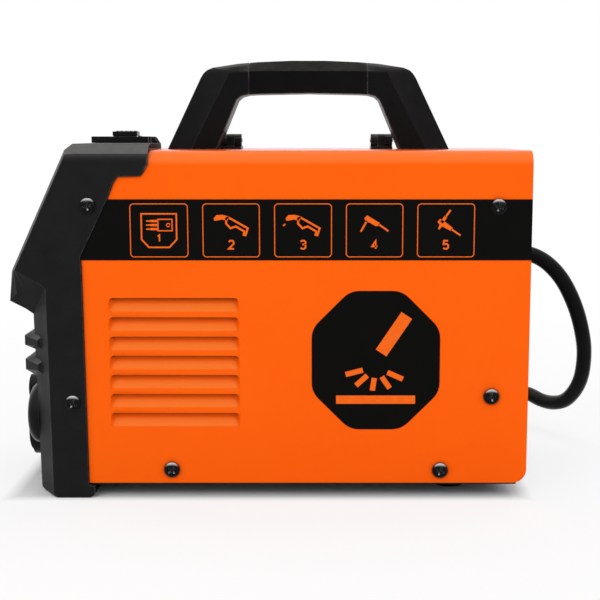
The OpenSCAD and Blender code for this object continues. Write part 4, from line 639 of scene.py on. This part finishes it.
def makeHead():
    # one head at the origin that faces -Y
    r, h, rim = screws["radius"], screws["height"], screws["rim"]
    dome = [(0.0, 0.1), (0.0, r - 0.3), (0.25, r - 0.05), (0.6, r), (rim, r - 0.03)]
    dome += [(rim + (h - rim) * sin(a), (r - 0.05) * cos(a)) for a in screws["rise"]]
    dome += [(h, 0.05)]
    head = Shape()
    head.turned(dome, lambda along, u, v: (u, -along, v), sides=40)
    headPiece = bpy.data.objects.new("screwHead", meshFrom("screwHead", head.points, head.faces))
    scene.collection.objects.link(headPiece)
    # a plus-shaped cutter that narrows with depth
    cross = Shape()
    long, wide, taper = screws["crossLength"] / 2, screws["crossWidth"] / 2, screws["crossTaper"]
    outline = []
    for a, b in ((1, 1), (-1, 1), (-1, -1), (1, -1)):
        corner = [(a * long, b * wide), (a * wide, b * wide), (a * wide, b * long)]
        outline += corner if a == b else corner[::-1]
    cross.rings([[(u, -h - 1, v) for u, v in outline], [(u, -h + 0.1, v) for u, v in outline],
                 [(u * taper, -h + screws["crossDepth"], v * taper) for u, v in outline]])
    cutter = bpy.data.objects.new("cross", meshFrom("cross", cross.points, cross.faces))
    scene.collection.objects.link(cutter)
    mesh = cutBy(headPiece, cutter)
    bpy.data.objects.remove(headPiece)
    return mesh


headMesh = makeHead()


def placeHeads(name, places, scale=1.0):
    # places are (point, turn about Z that aims the head)
    whole = bmesh.new()
    for i, (point, aim) in enumerate(places):
        one = headMesh.copy()
        turn = Matrix.Rotation(radians(screws["turn"][0] + screws["turn"][1] * i), 4, "Y")
        face = Matrix.Rotation(radians(aim), 4, "Z")
        one.transform(Matrix.Translation(Vector(point) * mm) @ face @ turn @ Matrix.Scale(scale, 4))
        whole.from_mesh(one)
    joined = bpy.data.meshes.new(name)
    whole.to_mesh(joined)
    piece = newPiece(name, joined, "case", "screwBlack")
    soften(piece, *screws["edge"])
    return piece


def makeScrews():
    places = [(x, -case["skinY"], z, 1) for x, z in screws["cover"]]
    places += [(x, side * case["sideY"], z, -side) for x, z in screws["bezel"] for side in (-1, 1)]
    piece = placeHeads("screwHeads", [((x, y, z), 0 if way > 0 else 180) for x, y, z, way in places])
    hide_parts("case_screws")
    shanks = Shape()
    for x, y, z, way in places:
        shanks.turned(screws["shank"], alongY(x, y, z, way), sides=16)
    soften(shanks.piece("screwShanks", "case", "screw_black", "screwBlack"), *screws["edge"])


makeScrews()
print("screws made")


# knobs: a fluted skirt, a dished cap and a pointer
knobs = {
    "height": 13.0, "proud": 0.8, "flutes": 24, "fluteDepth": 0.45, "y": 33.0,
    # distances up from the facia, or down from the top, and in from the radius
    "skirt": [(0.6, 0.6), (1.0, 0.1), (1.4, 0.0), (3.0, 0.0), (3.5, 0.3), (3.9, 1.1), (4.6, 1.5),
              (6.0, 1.55), (9.0, 1.7)],
    "cap": [(1.2, 1.9), (0.5, 2.2), (0.1, 2.8), (0.0, 3.6), (0.25, 4.6), (0.6, 6.0)],
    "dish": 0.7, "stem": [(-11.8, 2.6), (-11.2, 3.0)],
    "pointer": (0.75, 2.6, 1.5),  # half width, end in from the radius, height
    "current": {"diameter": 30.0, "z": case["faciaMid"] + 15},
    "speed": {"diameter": 22.0, "z": case["faciaMid"] - 19},
}


def makeKnob(name, size, nodeName, body):
    r, tall, proud = size["diameter"] / 2, knobs["height"], knobs["proud"]

    def place(along, u, v):
        return onSlope(-along, knobs["y"] + u, size["z"] + v)

    def fluted(along, radius, angle):
        grip = eased((along - proud - 3.6) / 1.2) * eased((proud + tall - 0.4 - along) / 0.6)
        return radius - knobs["fluteDepth"] * grip * (0.5 + 0.5 * cos(knobs["flutes"] * angle)) ** 2

    top = proud + tall
    profile = [(proud + 0.6, 1.0)] + [(proud + up, r - into) for up, into in knobs["skirt"]]
    profile += [(top - down, r - into) for down, into in knobs["cap"]] + [(top - knobs["dish"], 0.4)]
    body3d = Shape()
    body3d.turned(profile, place, sides=knobs["flutes"] * 8, wave=fluted)
    body3d.turned(knobs["stem"] + [(proud + 0.7, 3.0)], place, sides=24)
    piece = body3d.piece(name, body, "black_plastic", "blackPlastic")
    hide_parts(nodeName)
    soften(piece, 0)
    mark = Shape()
    half, short, lift = knobs["pointer"]
    mark.box((-half, 1.0, 0), (half, r - short, 1))
    mark.points = [place(top - knobs["dish"] + lift * p[2], p[0], p[1]) for p in mark.points]
    soften(mark.piece(name + "Pointer", body, "black_plastic", "whiteInk"), 0.25)


makeKnob("currentKnob", knobs["current"], "current_knob", "knob_current")
makeKnob("wireSpeedKnob", knobs["speed"], "wire_speed_knob", "knob_wire_speed")
print("knobs made")


# printed marks
def strip(shape, line2d, width, place, thick=0.1, closed=False):
    # a flat printed line with mitred corners, on the surface that place maps to
    line2d = [Vector(p) for p in line2d]
    count = len(line2d)
    rings = []
    for i, p in enumerate(line2d):
        before = line2d[i - 1] if closed or i else None
        after = line2d[(i + 1) % count] if closed or i < count - 1 else None
        into = (p - before).normalized() if before is not None else (after - p).normalized()
        out = (after - p).normalized() if after is not None else into
        side = Vector((-into.y, into.x))
        mitre = side + Vector((-out.y, out.x))
        mitre = mitre.normalized() if mitre.length > 0.01 else side
        reach = width / 2 / max(mitre.dot(side), 0.4)
        a, b = p + mitre * reach, p - mitre * reach
        rings.append([place(a.x, a.y, 0), place(b.x, b.y, 0), place(b.x, b.y, thick), place(a.x, a.y, thick)])
    if closed:
        rings.append(rings[0])
    shape.rings(rings, caps=not closed)


def patch(shape, outline, place, thick=0.1):
    shape.rings([[place(u, v, 0) for u, v in outline], [place(u, v, thick) for u, v in outline]])


def arc(u, v, r, start, end, steps):
    turned = [radians(start + (end - start) * i / steps) for i in range(steps + 1)]
    return [(u + r * cos(a), v + r * sin(a)) for a in turned]


def roundedBox(u, v, width, height, r):
    w, h = width / 2 - r, height / 2 - r
    corners = [(w, h, 0), (-w, h, 90), (-w, -h, 180), (w, -h, 270)]
    return [p for a, b, start in corners for p in arc(u + a, v + b, r, start, start + 90, 5)]


figures = {
    "0": [[(0, .2), (0, .8), (.15, 1), (.45, 1), (.6, .8), (.6, .2), (.45, 0), (.15, 0), (0, .2)]],
    "1": [[(.08, .78), (.35, 1), (.35, 0)]],
    "2": [[(0, .82), (.15, 1), (.45, 1), (.6, .82), (.6, .62), (0, 0), (.62, 0)]],
    "3": [[(0, .88), (.15, 1), (.45, 1), (.6, .85), (.6, .66), (.45, .53), (.2, .53)],
          [(.45, .53), (.6, .4), (.6, .16), (.45, 0), (.15, 0), (0, .12)]],
    "4": [[(.45, 0), (.45, 1), (0, .3), (.66, .3)]],
    "5": [[(.58, 1), (.06, 1), (.02, .56), (.42, .6), (.6, .44), (.6, .16), (.45, 0), (.15, 0), (0, .12)]],
}


def number(shape, text, u, v, tall, width, place):
    left = u - (len(text) * 0.6 + (len(text) - 1) * 0.28) * tall / 2
    for k, letter in enumerate(text):
        for stroke in figures[letter]:
            strip(shape, [(left + (k * 0.88 + a) * tall, v + (b - 0.5) * tall) for a, b in stroke],
                  width, place)


def onStripe(u, v, lift):
    return (u, -case["stripeY"] - case["printGap"] - lift, v)


icons = {
    "boxes": [(-71.6, 37.0), (-25.1, 36.4), (21.2, 36.6), (67.25, 36.3), (113.25, 36.5)],
    "midZ": 177.7, "height": 34.2, "radius": 2.2, "line": 0.6, "bold": 1.15,
}


def makeIcons():
    ink = Shape()
    thin, bold, mid = icons["line"], icons["bold"], icons["midZ"]
    u = 0.0

    def draw(points, width=bold, closed=False):
        strip(ink, [(u + a, mid + b) for a, b in points], width, onStripe, closed=closed)

    def area(points):
        patch(ink, [(u + a, mid + b) for a, b in points], onStripe)

    for k, (u, width) in enumerate(icons["boxes"]):
        strip(ink, roundedBox(u, mid, width, icons["height"], icons["radius"]), thin, onStripe, closed=True)
        if k == 0:  # a power transistor on its three legs, in a shield
            draw([(-11.3, 10.7), (11.3, 10.7), (11.3, -5.8), (6.6, -10.9), (-6.6, -10.9), (-11.3, -5.8)],
                 1.0, True)
            draw([(-0.6, -0.2), (-0.6, 7.2), (8.5, 7.2), (8.5, -0.2)], 0.75, True)
            draw(arc(6.0, 3.5, 1.1, 0, 330, 10), 0.6)
            for b in (0.9, 3.5, 6.1):
                draw([(-8.2, b), (-5.4, b)], 0.9)
                draw([(-5.4, b), (-0.9, b)], 1.5)
            number(ink, "1", u, mid - 5.0, 4.2, 0.9, onStripe)
        elif k in (1, 2):  # a wire-feed gun: grip, body and trigger
            area([(-11.2, 7.8), (-9.4, 9.9), (-5.6, 10.1), (-1.6, 9.1), (-1.3, 7.9), (-2.4, 6.2), (-4.0, 6.7),
                  (-6.2, 7.0), (-9.4, 6.3), (-10.9, 6.4)])
            draw([(-3.2, 7.8), (-1.7, 8.4), (10.7, 1.4), (9.2, -3.1), (8.0, -2.8), (8.4, -0.6), (3.0, 2.6),
                  (-0.4, 1.4), (-3.2, 4.4)], 1.25, True)
            if k == 2:
                draw([(-12.8, 3.0), (-11.4, 4.2)], 0.9)
        elif k == 3:  # an electrode clamp with its rod
            draw([(-8.9, -0.8), (-4.9, 6.2)], 1.2)
            area([(-6.6, 7.8), (-4.8, 9.8), (3.4, 4.8), (2.8, 3.0), (0.8, 2.7), (-3.2, 5.1), (-5.5, 5.6)])
            draw([(2.6, 4.0), (8.9, -0.4)], 1.2)
        else:  # a slim torch with a filler rod
            draw([(2.8, 13.2), (-0.4, 8.6)], 1.2)
            draw([(-0.2, 8.9), (-2.9, 5.0)], 2.0)
            area([(-5.6, 5.6), (-4.0, 7.4), (-2.4, 6.8), (4.4, 1.7), (3.0, -0.2), (-2.6, 2.6), (-4.2, 0.6),
                  (-5.2, 1.0), (-4.2, 3.6)])
            draw([(3.4, 0.9), (9.4, -3.2)], 1.1)
        if k:
            number(ink, str(k + 1), u, mid - 9.2, 5.2, 1.1, onStripe)
    ink.piece("stripeIcons", "case", "orange_paint", "orangeInk", smooth=False)


makeIcons()

# side motif: a cut-cornered plate with a plain arc and spark figure
motif = {"u": 68.6, "v": 92.3, "width": 83.8, "height": 92.0, "corner": 25.0, "round": 6.4, "line": 5.6,
         "thick": 0.13, "rays": (200, 232, 264, 296, 328), "rayLine": 0.62}


def filleted(outline, r, steps=5):
    # rounds the corners of a closed outline
    points = [Vector(p) for p in outline]
    found = []
    for i, p in enumerate(points):
        a = (points[i - 1] - p).normalized()
        b = (points[(i + 1) % len(points)] - p).normalized()
        start, end = p + a * r, p + b * r
        for k in range(steps + 1):
            t = k / steps
            found.append(tuple((start * (1 - t) ** 2 + p * 2 * t * (1 - t) + end * t * t)))
    return found


def makeMotif():
    u, v, w, h, c = motif["u"], motif["v"], motif["width"] / 2, motif["height"] / 2, motif["corner"]
    outline = [(w, h - c), (w - c, h), (c - w, h), (-w, h - c), (-w, c - h), (c - w, -h), (w - c, -h),
               (w, c - h)]

    def onSkin(a, b, lift):
        return (a, -case["skinY"] - case["printGap"] - lift, b)

    def over(a, b, lift):
        return onSkin(a, b, motif["thick"] + lift)

    plate = Shape()
    patch(plate, filleted([(u + a, v + b) for a, b in outline], motif["round"]), onSkin, motif["thick"])
    plate.piece("sideMotif", "case", "stripe_black", "stripeInk", smooth=False)
    spark = Shape()
    bold = motif["line"]
    strip(spark, [(u + 20, v + 30), (u + 3.4, v + 5.2)], bold * 1.5, over)
    strip(spark, [(u - 26, v - 26), (u + 26, v - 26)], bold, over)
    for angle in motif["rays"]:
        a = radians(angle)
        strip(spark, [(u + 9 * cos(a), v - 3.5 + 8 * sin(a)),
                      (u + 21 * cos(a), v - 3.5 + 16.5 * sin(a))], bold * motif["rayLine"], over)
    spark.piece("sideMotifFigure", "case", "orange_paint", "orangeInk", smooth=False)


makeMotif()

# the far side carries the plain band only
doorBand = {"outline": [(-102.9, 197.6), (168.2, 197.6), (168.2, 158.4), (-120.5, 158.4), (-120.7, 160.6)],
            "thick": 0.13}


def makeDoorBand():
    band = Shape()
    patch(band, doorBand["outline"], lambda u, v, lift: (u, case["skinY"] + case["printGap"] + lift, v),
          doorBand["thick"])
    band.piece("doorBand", "door", "stripe_black", "stripeInk", smooth=False)


makeDoorBand()
print("printed marks made")


# facia print: scales round the knobs, numbered lamps and a lit display
facia = {
    "proud": 0.8, "buttonProud": 3.0, "divider": -8.5, "lampZ": -1.5, "line": 0.4,
    # across, up, radius, ticks, and which of them are long
    "scales": [(-33.0, 15.0, 16.1, 11, (0, 5, 10)), (-33.0, -19.0, 12.2, 9, (0, 4, 5, 8))],
    "tick": (0.9, 1.5), "tickLine": 0.45, "scaleText": (2.6, 0.42),
    "lampText": (2.3, 0.4), "lampTextDown": 4.2,
    "lamps": [38.0, 28.0, 18.0, 8.0], "buttonZ": -14.0,
    "buttonMarks": [
        ("modeMark", "button_mode", 34.0, [(0, 1.9), (-1.9, -1.5), (1.9, -1.5)]),
        ("triggerMark", "button_trigger", 12.0, [(-1.6, 1.6), (-1.6, -1.6), (1.6, -1.6), (1.6, 1.6)]),
    ],
    "display": "120", "displayAt": (23.0, 14.0), "digit": (7.6, 14.0), "digitGap": 4.4, "bar": 1.7,
    # plus and minus at the sockets: across, up, half width, half height, thickness
    "signBars": [(37.0, 74.2, 2.6, 0.6, 0.3), (37.0, 74.2, 0.6, 2.6, 0.35), (1.0, 52.6, 2.6, 0.6, 0.3)],
}
bars = {"0": "abcdef", "1": "bc", "2": "abged"}
# each bar's two ends, across and up, in widths and half heights
barEnds = {"a": (0, 2, 1, 2), "b": (1, 2, 1, 1), "c": (1, 1, 1, 0), "d": (0, 0, 1, 0), "e": (0, 1, 0, 0),
           "f": (0, 2, 0, 1), "g": (0, 1, 1, 1)}


def onFacia(u, v, lift, proud=facia["proud"]):
    return onSlope(-proud - case["printGap"] - lift, -u, case["faciaMid"] + v)


def onButton(u, v, lift):
    return onFacia(u, v, lift, facia["buttonProud"])


def digitBar(shape, letter, u, v):
    # one bar of a seven-bar digit, with pointed ends
    wide, tall = facia["digit"]
    half, t = tall / 2, facia["bar"] / 2
    a, b, c, d = barEnds[letter]
    p, q = Vector((a * wide, b * half)), Vector((c * wide, d * half))
    way = (q - p).normalized()
    side = Vector((-way.y, way.x)) * t
    near, far = way * 0.3, way * (0.3 + t)
    outline = [p + near, p + far + side, q - far + side, q - near, q - far - side, p + far - side]
    patch(shape, [(u + c.x, v + c.y) for c in outline], onFacia)


def makeFacia():
    lines, lit, dim = Shape(), Shape(), Shape()
    for u, v, r, ticks, longer in facia["scales"]:
        for k in range(ticks):
            a = radians(225 - 270 * k / (ticks - 1))
            out = r + facia["tick"][k in longer]
            strip(lines, [(u + r * cos(a), v + r * sin(a)), (u + out * cos(a), v + out * sin(a))],
                  facia["tickLine"], onFacia)
        for text, side in (("0", -1), ("10", 1)):
            number(lines, text, u + side * 0.8 * r, v - 0.9 * r, *facia["scaleText"], onFacia)
    strip(lines, [(facia["divider"], -31), (facia["divider"], 31)], facia["line"], onFacia)
    for k, u in enumerate(facia["lamps"]):
        number(lines, str(k + 1), u, facia["lampZ"] - facia["lampTextDown"], *facia["lampText"], onFacia)
    lines.piece("faciaPrint", "case", "gloss_black", "whiteInk", smooth=False)
    wide, tall = facia["digit"]
    step = wide + facia["digitGap"]
    left = facia["displayAt"][0] - (step * len(facia["display"]) - facia["digitGap"]) / 2
    for k, figure in enumerate(facia["display"]):
        for letter in "abcdefg":
            digitBar(lit if letter in bars[figure] else dim, letter, left + step * k,
                     facia["displayAt"][1] - tall / 2)
    lit.piece("displayLit", "case", "display_red", "litSegment", smooth=False)
    dim.piece("displayDim", "case", "display_red", "dimSegment", smooth=False)
    for name, body, u, points in facia["buttonMarks"]:
        mark = Shape()
        patch(mark, [(u + a, facia["buttonZ"] + b) for a, b in points], onButton)
        mark.piece(name, body, "button_grey", "stripeInk", smooth=False)
    signs = Shape()

    def onPanel(u, v, lift):
        return (case["faceX"] - facia["proud"] - case["printGap"] - lift, -u, v)

    for u, v, wide, tall, thick in facia["signBars"]:
        patch(signs, [(u - wide, v - tall), (u + wide, v - tall), (u + wide, v + tall), (u - wide, v + tall)],
              onPanel, thick)
    signs.piece("socketSigns", "case", "black_plastic", "whiteInk", smooth=False)


makeFacia()
print("facia printed")


# rear fittings: wire fan guard, cable gland and the marks on the rocker
rear = {
    "guardRings": [10.0, 17.0, 24.0, 31.0], "wire": 0.9, "ringX": 165.2, "crossX": 163.8, "corner": 30.0,
    "eye": 3.0, "screwScale": 0.65, "stem": [(-4.0, 1.8), (0.3, 1.8)],
    "hexRadius": 11.0, "panelIn": 161.1,
    "domeTurns": (8.4, 8.0, 7.6, 7.2), "domeStart": 7.4, "domePitch": 1.9,
    "rockerAt": (157.3, -34.0, 178.0), "rockerTilt": 8.0, "rockerFace": 6.43, "rockerDish": 1.2 / 7.6,
}


def makeFanGuard():
    y, z, wire = case["fanY"], case["fanZ"], rear["wire"]
    guard = Shape()

    def ring(x, cy, cz, r, sides):
        guard.tube([(x, cy + r * cos(a), cz + r * sin(a)) for a in angles(sides)], wire, 10, closed=True)

    for r in rear["guardRings"]:
        ring(rear["ringX"], y, z, r, 72)
    reach = rear["corner"] - rear["eye"] / sqrt(2)
    heads = []
    for a, b in ((-1, -1), (-1, 1)):
        guard.tube([(rear["crossX"], y + a * reach * t, z + b * reach * t) for t in (-1, 1)], wire, 10)
    for a in (-1, 1):
        for b in (-1, 1):
            ring(rear["crossX"], y + a * rear["corner"], z + b * rear["corner"], rear["eye"], 24)
            heads.append(((rear["crossX"] + wire - 0.1, y + a * rear["corner"], z + b * rear["corner"]), 90))
    piece = guard.piece("fanGuardWires", "case", "zinc_steel", "zincSteel")
    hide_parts("fan_guard")
    placeHeads("fanGuardScrews", heads, rear["screwScale"])
    stems = Shape()
    for point, aim in heads:
        stems.turned(rear["stem"], alongX(*point), sides=16)
    stems.piece("fanGuardStems", "case", "screw_black", "screwBlack")


def makeGland():
    def hexed(along, radius, angle):
        flat = rear["hexRadius"] * cos(pi / 6)
        return min(radius, flat / cos(angle % (pi / 3) - pi / 6))

    place = alongX(case["panelX"], case["glandY"], case["glandZ"])
    inside = rear["panelIn"] - case["panelX"]
    body = Shape()
    body.turned([(0.0, 1.0), (0.0, 10.3), (0.7, 11.0), (5.3, 11.0), (6.0, 10.3), (6.0, 1.0)],
                place, 72, hexed)
    body.turned([(inside - 6, 1.0), (inside - 6, 10.3), (inside - 5.3, 11.0), (inside - 0.6, 11.0),
                 (inside, 10.4), (inside, 1.0)], place, 72, hexed)
    body.turned([(inside - 9, 1.0), (inside - 9, 7.5), (inside - 8.5, 8.0), (1.0, 8.0), (1.0, 1.0)], place)
    relief = [(5.9, 1.0), (5.9, 8.6), (7.2, 8.6)]
    for k, r in enumerate(rear["domeTurns"]):
        x = rear["domeStart"] + rear["domePitch"] * k
        relief += [(x, r - 0.1), (x + 0.1, r - 0.8), (x + 0.5, r - 0.8),
                   (x + 0.6, r - 0.15), (x + 1.7, r - 0.3)]
    relief += [(15.3, 6.5), (15.7, 6.2), (15.7, 5.8), (14.4, 5.5)]
    body.turned(relief, place)
    piece = body.piece("cableGland", "case", "black_plastic", "blackPlastic")
    soften(piece, 0.2, 2, 40)
    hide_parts("cable_gland")


def makeRockerMarks():
    tilt = radians(rear["rockerTilt"])
    x0, y0, z0 = rear["rockerAt"]

    def face(u, v, lift):
        x = rear["rockerFace"] + rear["rockerDish"] * abs(v) + lift
        return (x0 + x * cos(tilt) + v * sin(tilt), y0 + u, z0 - x * sin(tilt) + v * cos(tilt))

    marks = Shape()
    strip(marks, [(0, 2.4), (0, 5.6)], 0.8, face, 0.12)
    strip(marks, arc(0, -4.0, 1.6, 0, 360, 20)[:-1], 0.7, face, 0.12, closed=True)
    marks.piece("rockerMarks", "rocker", "red_plastic", "whiteInk", smooth=False)


makeFanGuard()
makeGland()
makeRockerMarks()
print("rear fittings made")


# ridges on the latch's thumb piece
latch = {"x": -115.0, "y": 35.0, "top": 241.2, "count": 5, "pitch": 3.2, "half": 5.6,
         "profile": [(-0.9, -0.2), (-0.4, 0.5), (0.4, 0.5), (0.9, -0.2)]}


def makeLatchRidges():
    ridges = Shape()
    for k in range(latch["count"]):
        x = latch["x"] + latch["pitch"] * k
        ridges.rings([[(x + a, latch["y"] + side, latch["top"] + b) for a, b in latch["profile"]]
                      for side in (-latch["half"], latch["half"])])
    ridges.piece("latchRidges", "latch", "black_plastic", "blackPlastic", smooth=False)


# the catch stands on the door, on both sides of the nose's way
catch = {"x": -90.4, "gap": 4.95, "thick": 1.8, "base": 228.7,
         "profile": [(0, 0), (5.6, 0), (5.6, 2.4), (5.1, 4.2), (4.0, 5.8), (2.6, 8.0), (1.4, 8.8), (0, 8.8)]}


def makeCatch():
    cheeks = Shape()
    for side in (-1, 1):
        sides = []
        for d in (catch["gap"], catch["gap"] + catch["thick"]):
            sides.append([(catch["x"] + a, latch["y"] + side * d, catch["base"] + b)
                          for a, b in catch["profile"]])
        cheeks.rings(sides)
    piece = cheeks.piece("doorCatch", "door", "black_plastic", "blackPlastic")
    soften(piece, 0.4, 2, 35)


makeLatchRidges()
makeCatch()
print("latch ridges and catch made")


# pressed louvres: each scoop closes towards the skin at its ends and its foot
louvres = {"x": -105.4, "long": 84.5, "tall": 9.3, "lipDown": 0.7, "top": 133.7, "pitch": 12.73, "count": 7,
           "depth": 3.9, "flare": 0.6, "endLong": 3.0, "wall": 0.8, "hem": 0.8, "under": 0.02,
           "across": 44, "up": 8}


def makeScoops():
    scoops = Shape()
    across, up, hem = louvres["across"], louvres["up"], louvres["hem"]
    skin = -case["skinY"] + louvres["under"]
    for k in range(louvres["count"]):
        foot = louvres["top"] - louvres["pitch"] * k - louvres["tall"]
        columns = []
        # a flat hem runs on under the skin at the foot and at both ends
        for i in range(across + 3):
            s = 0.5 - 0.5 * cos(pi * min(max((i - 1) / across, 0), 1))
            aside = -hem if i == 0 else hem if i == across + 2 else 0
            end = sin(pi / 2 * min(min(s, 1 - s) * louvres["long"] / louvres["endLong"], 1.0))
            front = []
            for j in range(up + 2):
                t = max((j - 1) / up, 0)
                depth = louvres["depth"] * sin(pi / 2 * t) * end
                z = foot + t * (louvres["tall"] - louvres["lipDown"]) - (hem if j == 0 else 0)
                flare = louvres["flare"] * (1 - t)
                x = louvres["x"] - flare + s * (louvres["long"] + 2 * flare) + aside
                front.append((x, skin + depth, z))
            columns.append(front + [(x, y + louvres["wall"], z) for x, y, z in reversed(front)])
        scoops.rings(columns)
    # the scoops take the copy of the orange paint that carries their painted highlight and painted shade
    scoops.piece("louvreScoops", "case", "orange_paint", "orangeLouvreLight")


makeScoops()
print("louvres pressed")


# floor, world and lights
studio = {
    "world": 0.57, "floorZ": -0.0004, "floorSize": 14.0, "floorColour": (0.9, 0.9, 0.9, 1.0),
    "shadowReach": (0.2, 0.9), "floorGlow": 0.78, "footprint": (-2.6, 171.4, 75.0),
    "footprintFade": (-5.0, 6.0),
    "lamps": [  # place, size, power, aimed at
        ((-0.7, -1.6, 1.5), 1.4, 13.0, (0, 0, 0.12)),
        ((1.3, -1.3, 1.0), 1.2, 6.0, (0, 0, 0.12)),
        ((0.1, 0.5, 2.0), 1.4, 10.0, (0, 0, 0.2)),
        ((-1.5, 0.9, 0.9), 1.0, 3.0, (0, 0, 0.12)),
    ],
}


def makeStudio():
    world = bpy.data.worlds.new("studio")
    scene.world = world
    world.use_nodes = True
    tree = world.node_tree
    lit = tree.nodes["Background"]
    fill(tree, lit, {"Color": (1, 1, 1, 1), "Strength": studio["world"]})
    seen = put(tree, "ShaderNodeBackground", {"Color": (1, 1, 1, 1), "Strength": 1.0})
    choose = put(tree, "ShaderNodeMixShader", {0: seenDirectly(tree), 1: lit.outputs[0], 2: seen.outputs[0]})
    fill(tree, tree.nodes["World Output"], {"Surface": choose.outputs[0]})
    for i, (place, size, power, aim) in enumerate(studio["lamps"]):
        lamp = bpy.data.lights.new("softLamp%d" % i, "AREA")
        lamp.shape = "DISK"
        lamp.size = size
        lamp.energy = power
        stand = bpy.data.objects.new(lamp.name, lamp)
        scene.collection.objects.link(stand)
        stand.location = place
        stand.rotation_euler = (Vector(aim) - Vector(place)).to_track_quat("-Z", "Y").to_euler()


def seenDirectly(tree):
    # camera, glossy and transmission rays together
    ray = put(tree, "ShaderNodeLightPath").outputs
    total = worked(tree, "ADD", ray["Is Camera Ray"], ray["Is Glossy Ray"])
    return worked(tree, "ADD", total, ray["Is Transmission Ray"], use_clamp=True)


def makeFloor():
    half, z = studio["floorSize"] / 2, studio["floorZ"]
    mesh = bpy.data.meshes.new("floor")
    corners = [(-half, -half, z), (half, -half, z), (half, half, z), (-half, half, z)]
    mesh.from_pydata(corners, [], [(0, 1, 2, 3)])
    floor = bpy.data.objects.new("floor", mesh)
    scene.collection.objects.link(floor)
    material = bpy.data.materials.new("pale floor")
    material.use_nodes = True
    tree = material.node_tree
    tree.nodes.clear()
    plain = put(tree, "ShaderNodeBsdfDiffuse", {"Color": studio["floorColour"]})
    white = put(tree, "ShaderNodeEmission", {"Color": (1, 1, 1, 1), "Strength": 1.0})
    place = put(tree, "ShaderNodeTexCoord").outputs["Object"]
    away = put(tree, "ShaderNodeVectorMath", {0: place}, operation="LENGTH")
    reach, fade = studio["shadowReach"], studio["footprintFade"]
    bright = ranged(tree, away.outputs["Value"], reach[0], reach[1], studio["floorGlow"], 1.0)
    # under the case the floor is lit by the lamps alone
    midX, halfX, halfY = studio["footprint"]
    parts = put(tree, "ShaderNodeSeparateXYZ", {0: place}).outputs
    fromX = worked(tree, "ABSOLUTE", worked(tree, "SUBTRACT", parts["X"], midX * mm))
    pastX = worked(tree, "SUBTRACT", fromX, halfX * mm)
    pastY = worked(tree, "SUBTRACT", worked(tree, "ABSOLUTE", parts["Y"]), halfY * mm)
    clear = ranged(tree, worked(tree, "MAXIMUM", pastX, pastY), fade[0] * mm, fade[1] * mm)
    glow = times(tree, times(tree, bright, clear), seenDirectly(tree))
    choose = put(tree, "ShaderNodeMixShader", {0: glow, 1: plain.outputs[0], 2: white.outputs[0]})
    put(tree, "ShaderNodeOutputMaterial", {"Surface": choose.outputs[0]})
    mesh.materials.append(material)


makeStudio()
makeFloor()
scene.view_settings.view_transform = "Standard"
print("studio ready")
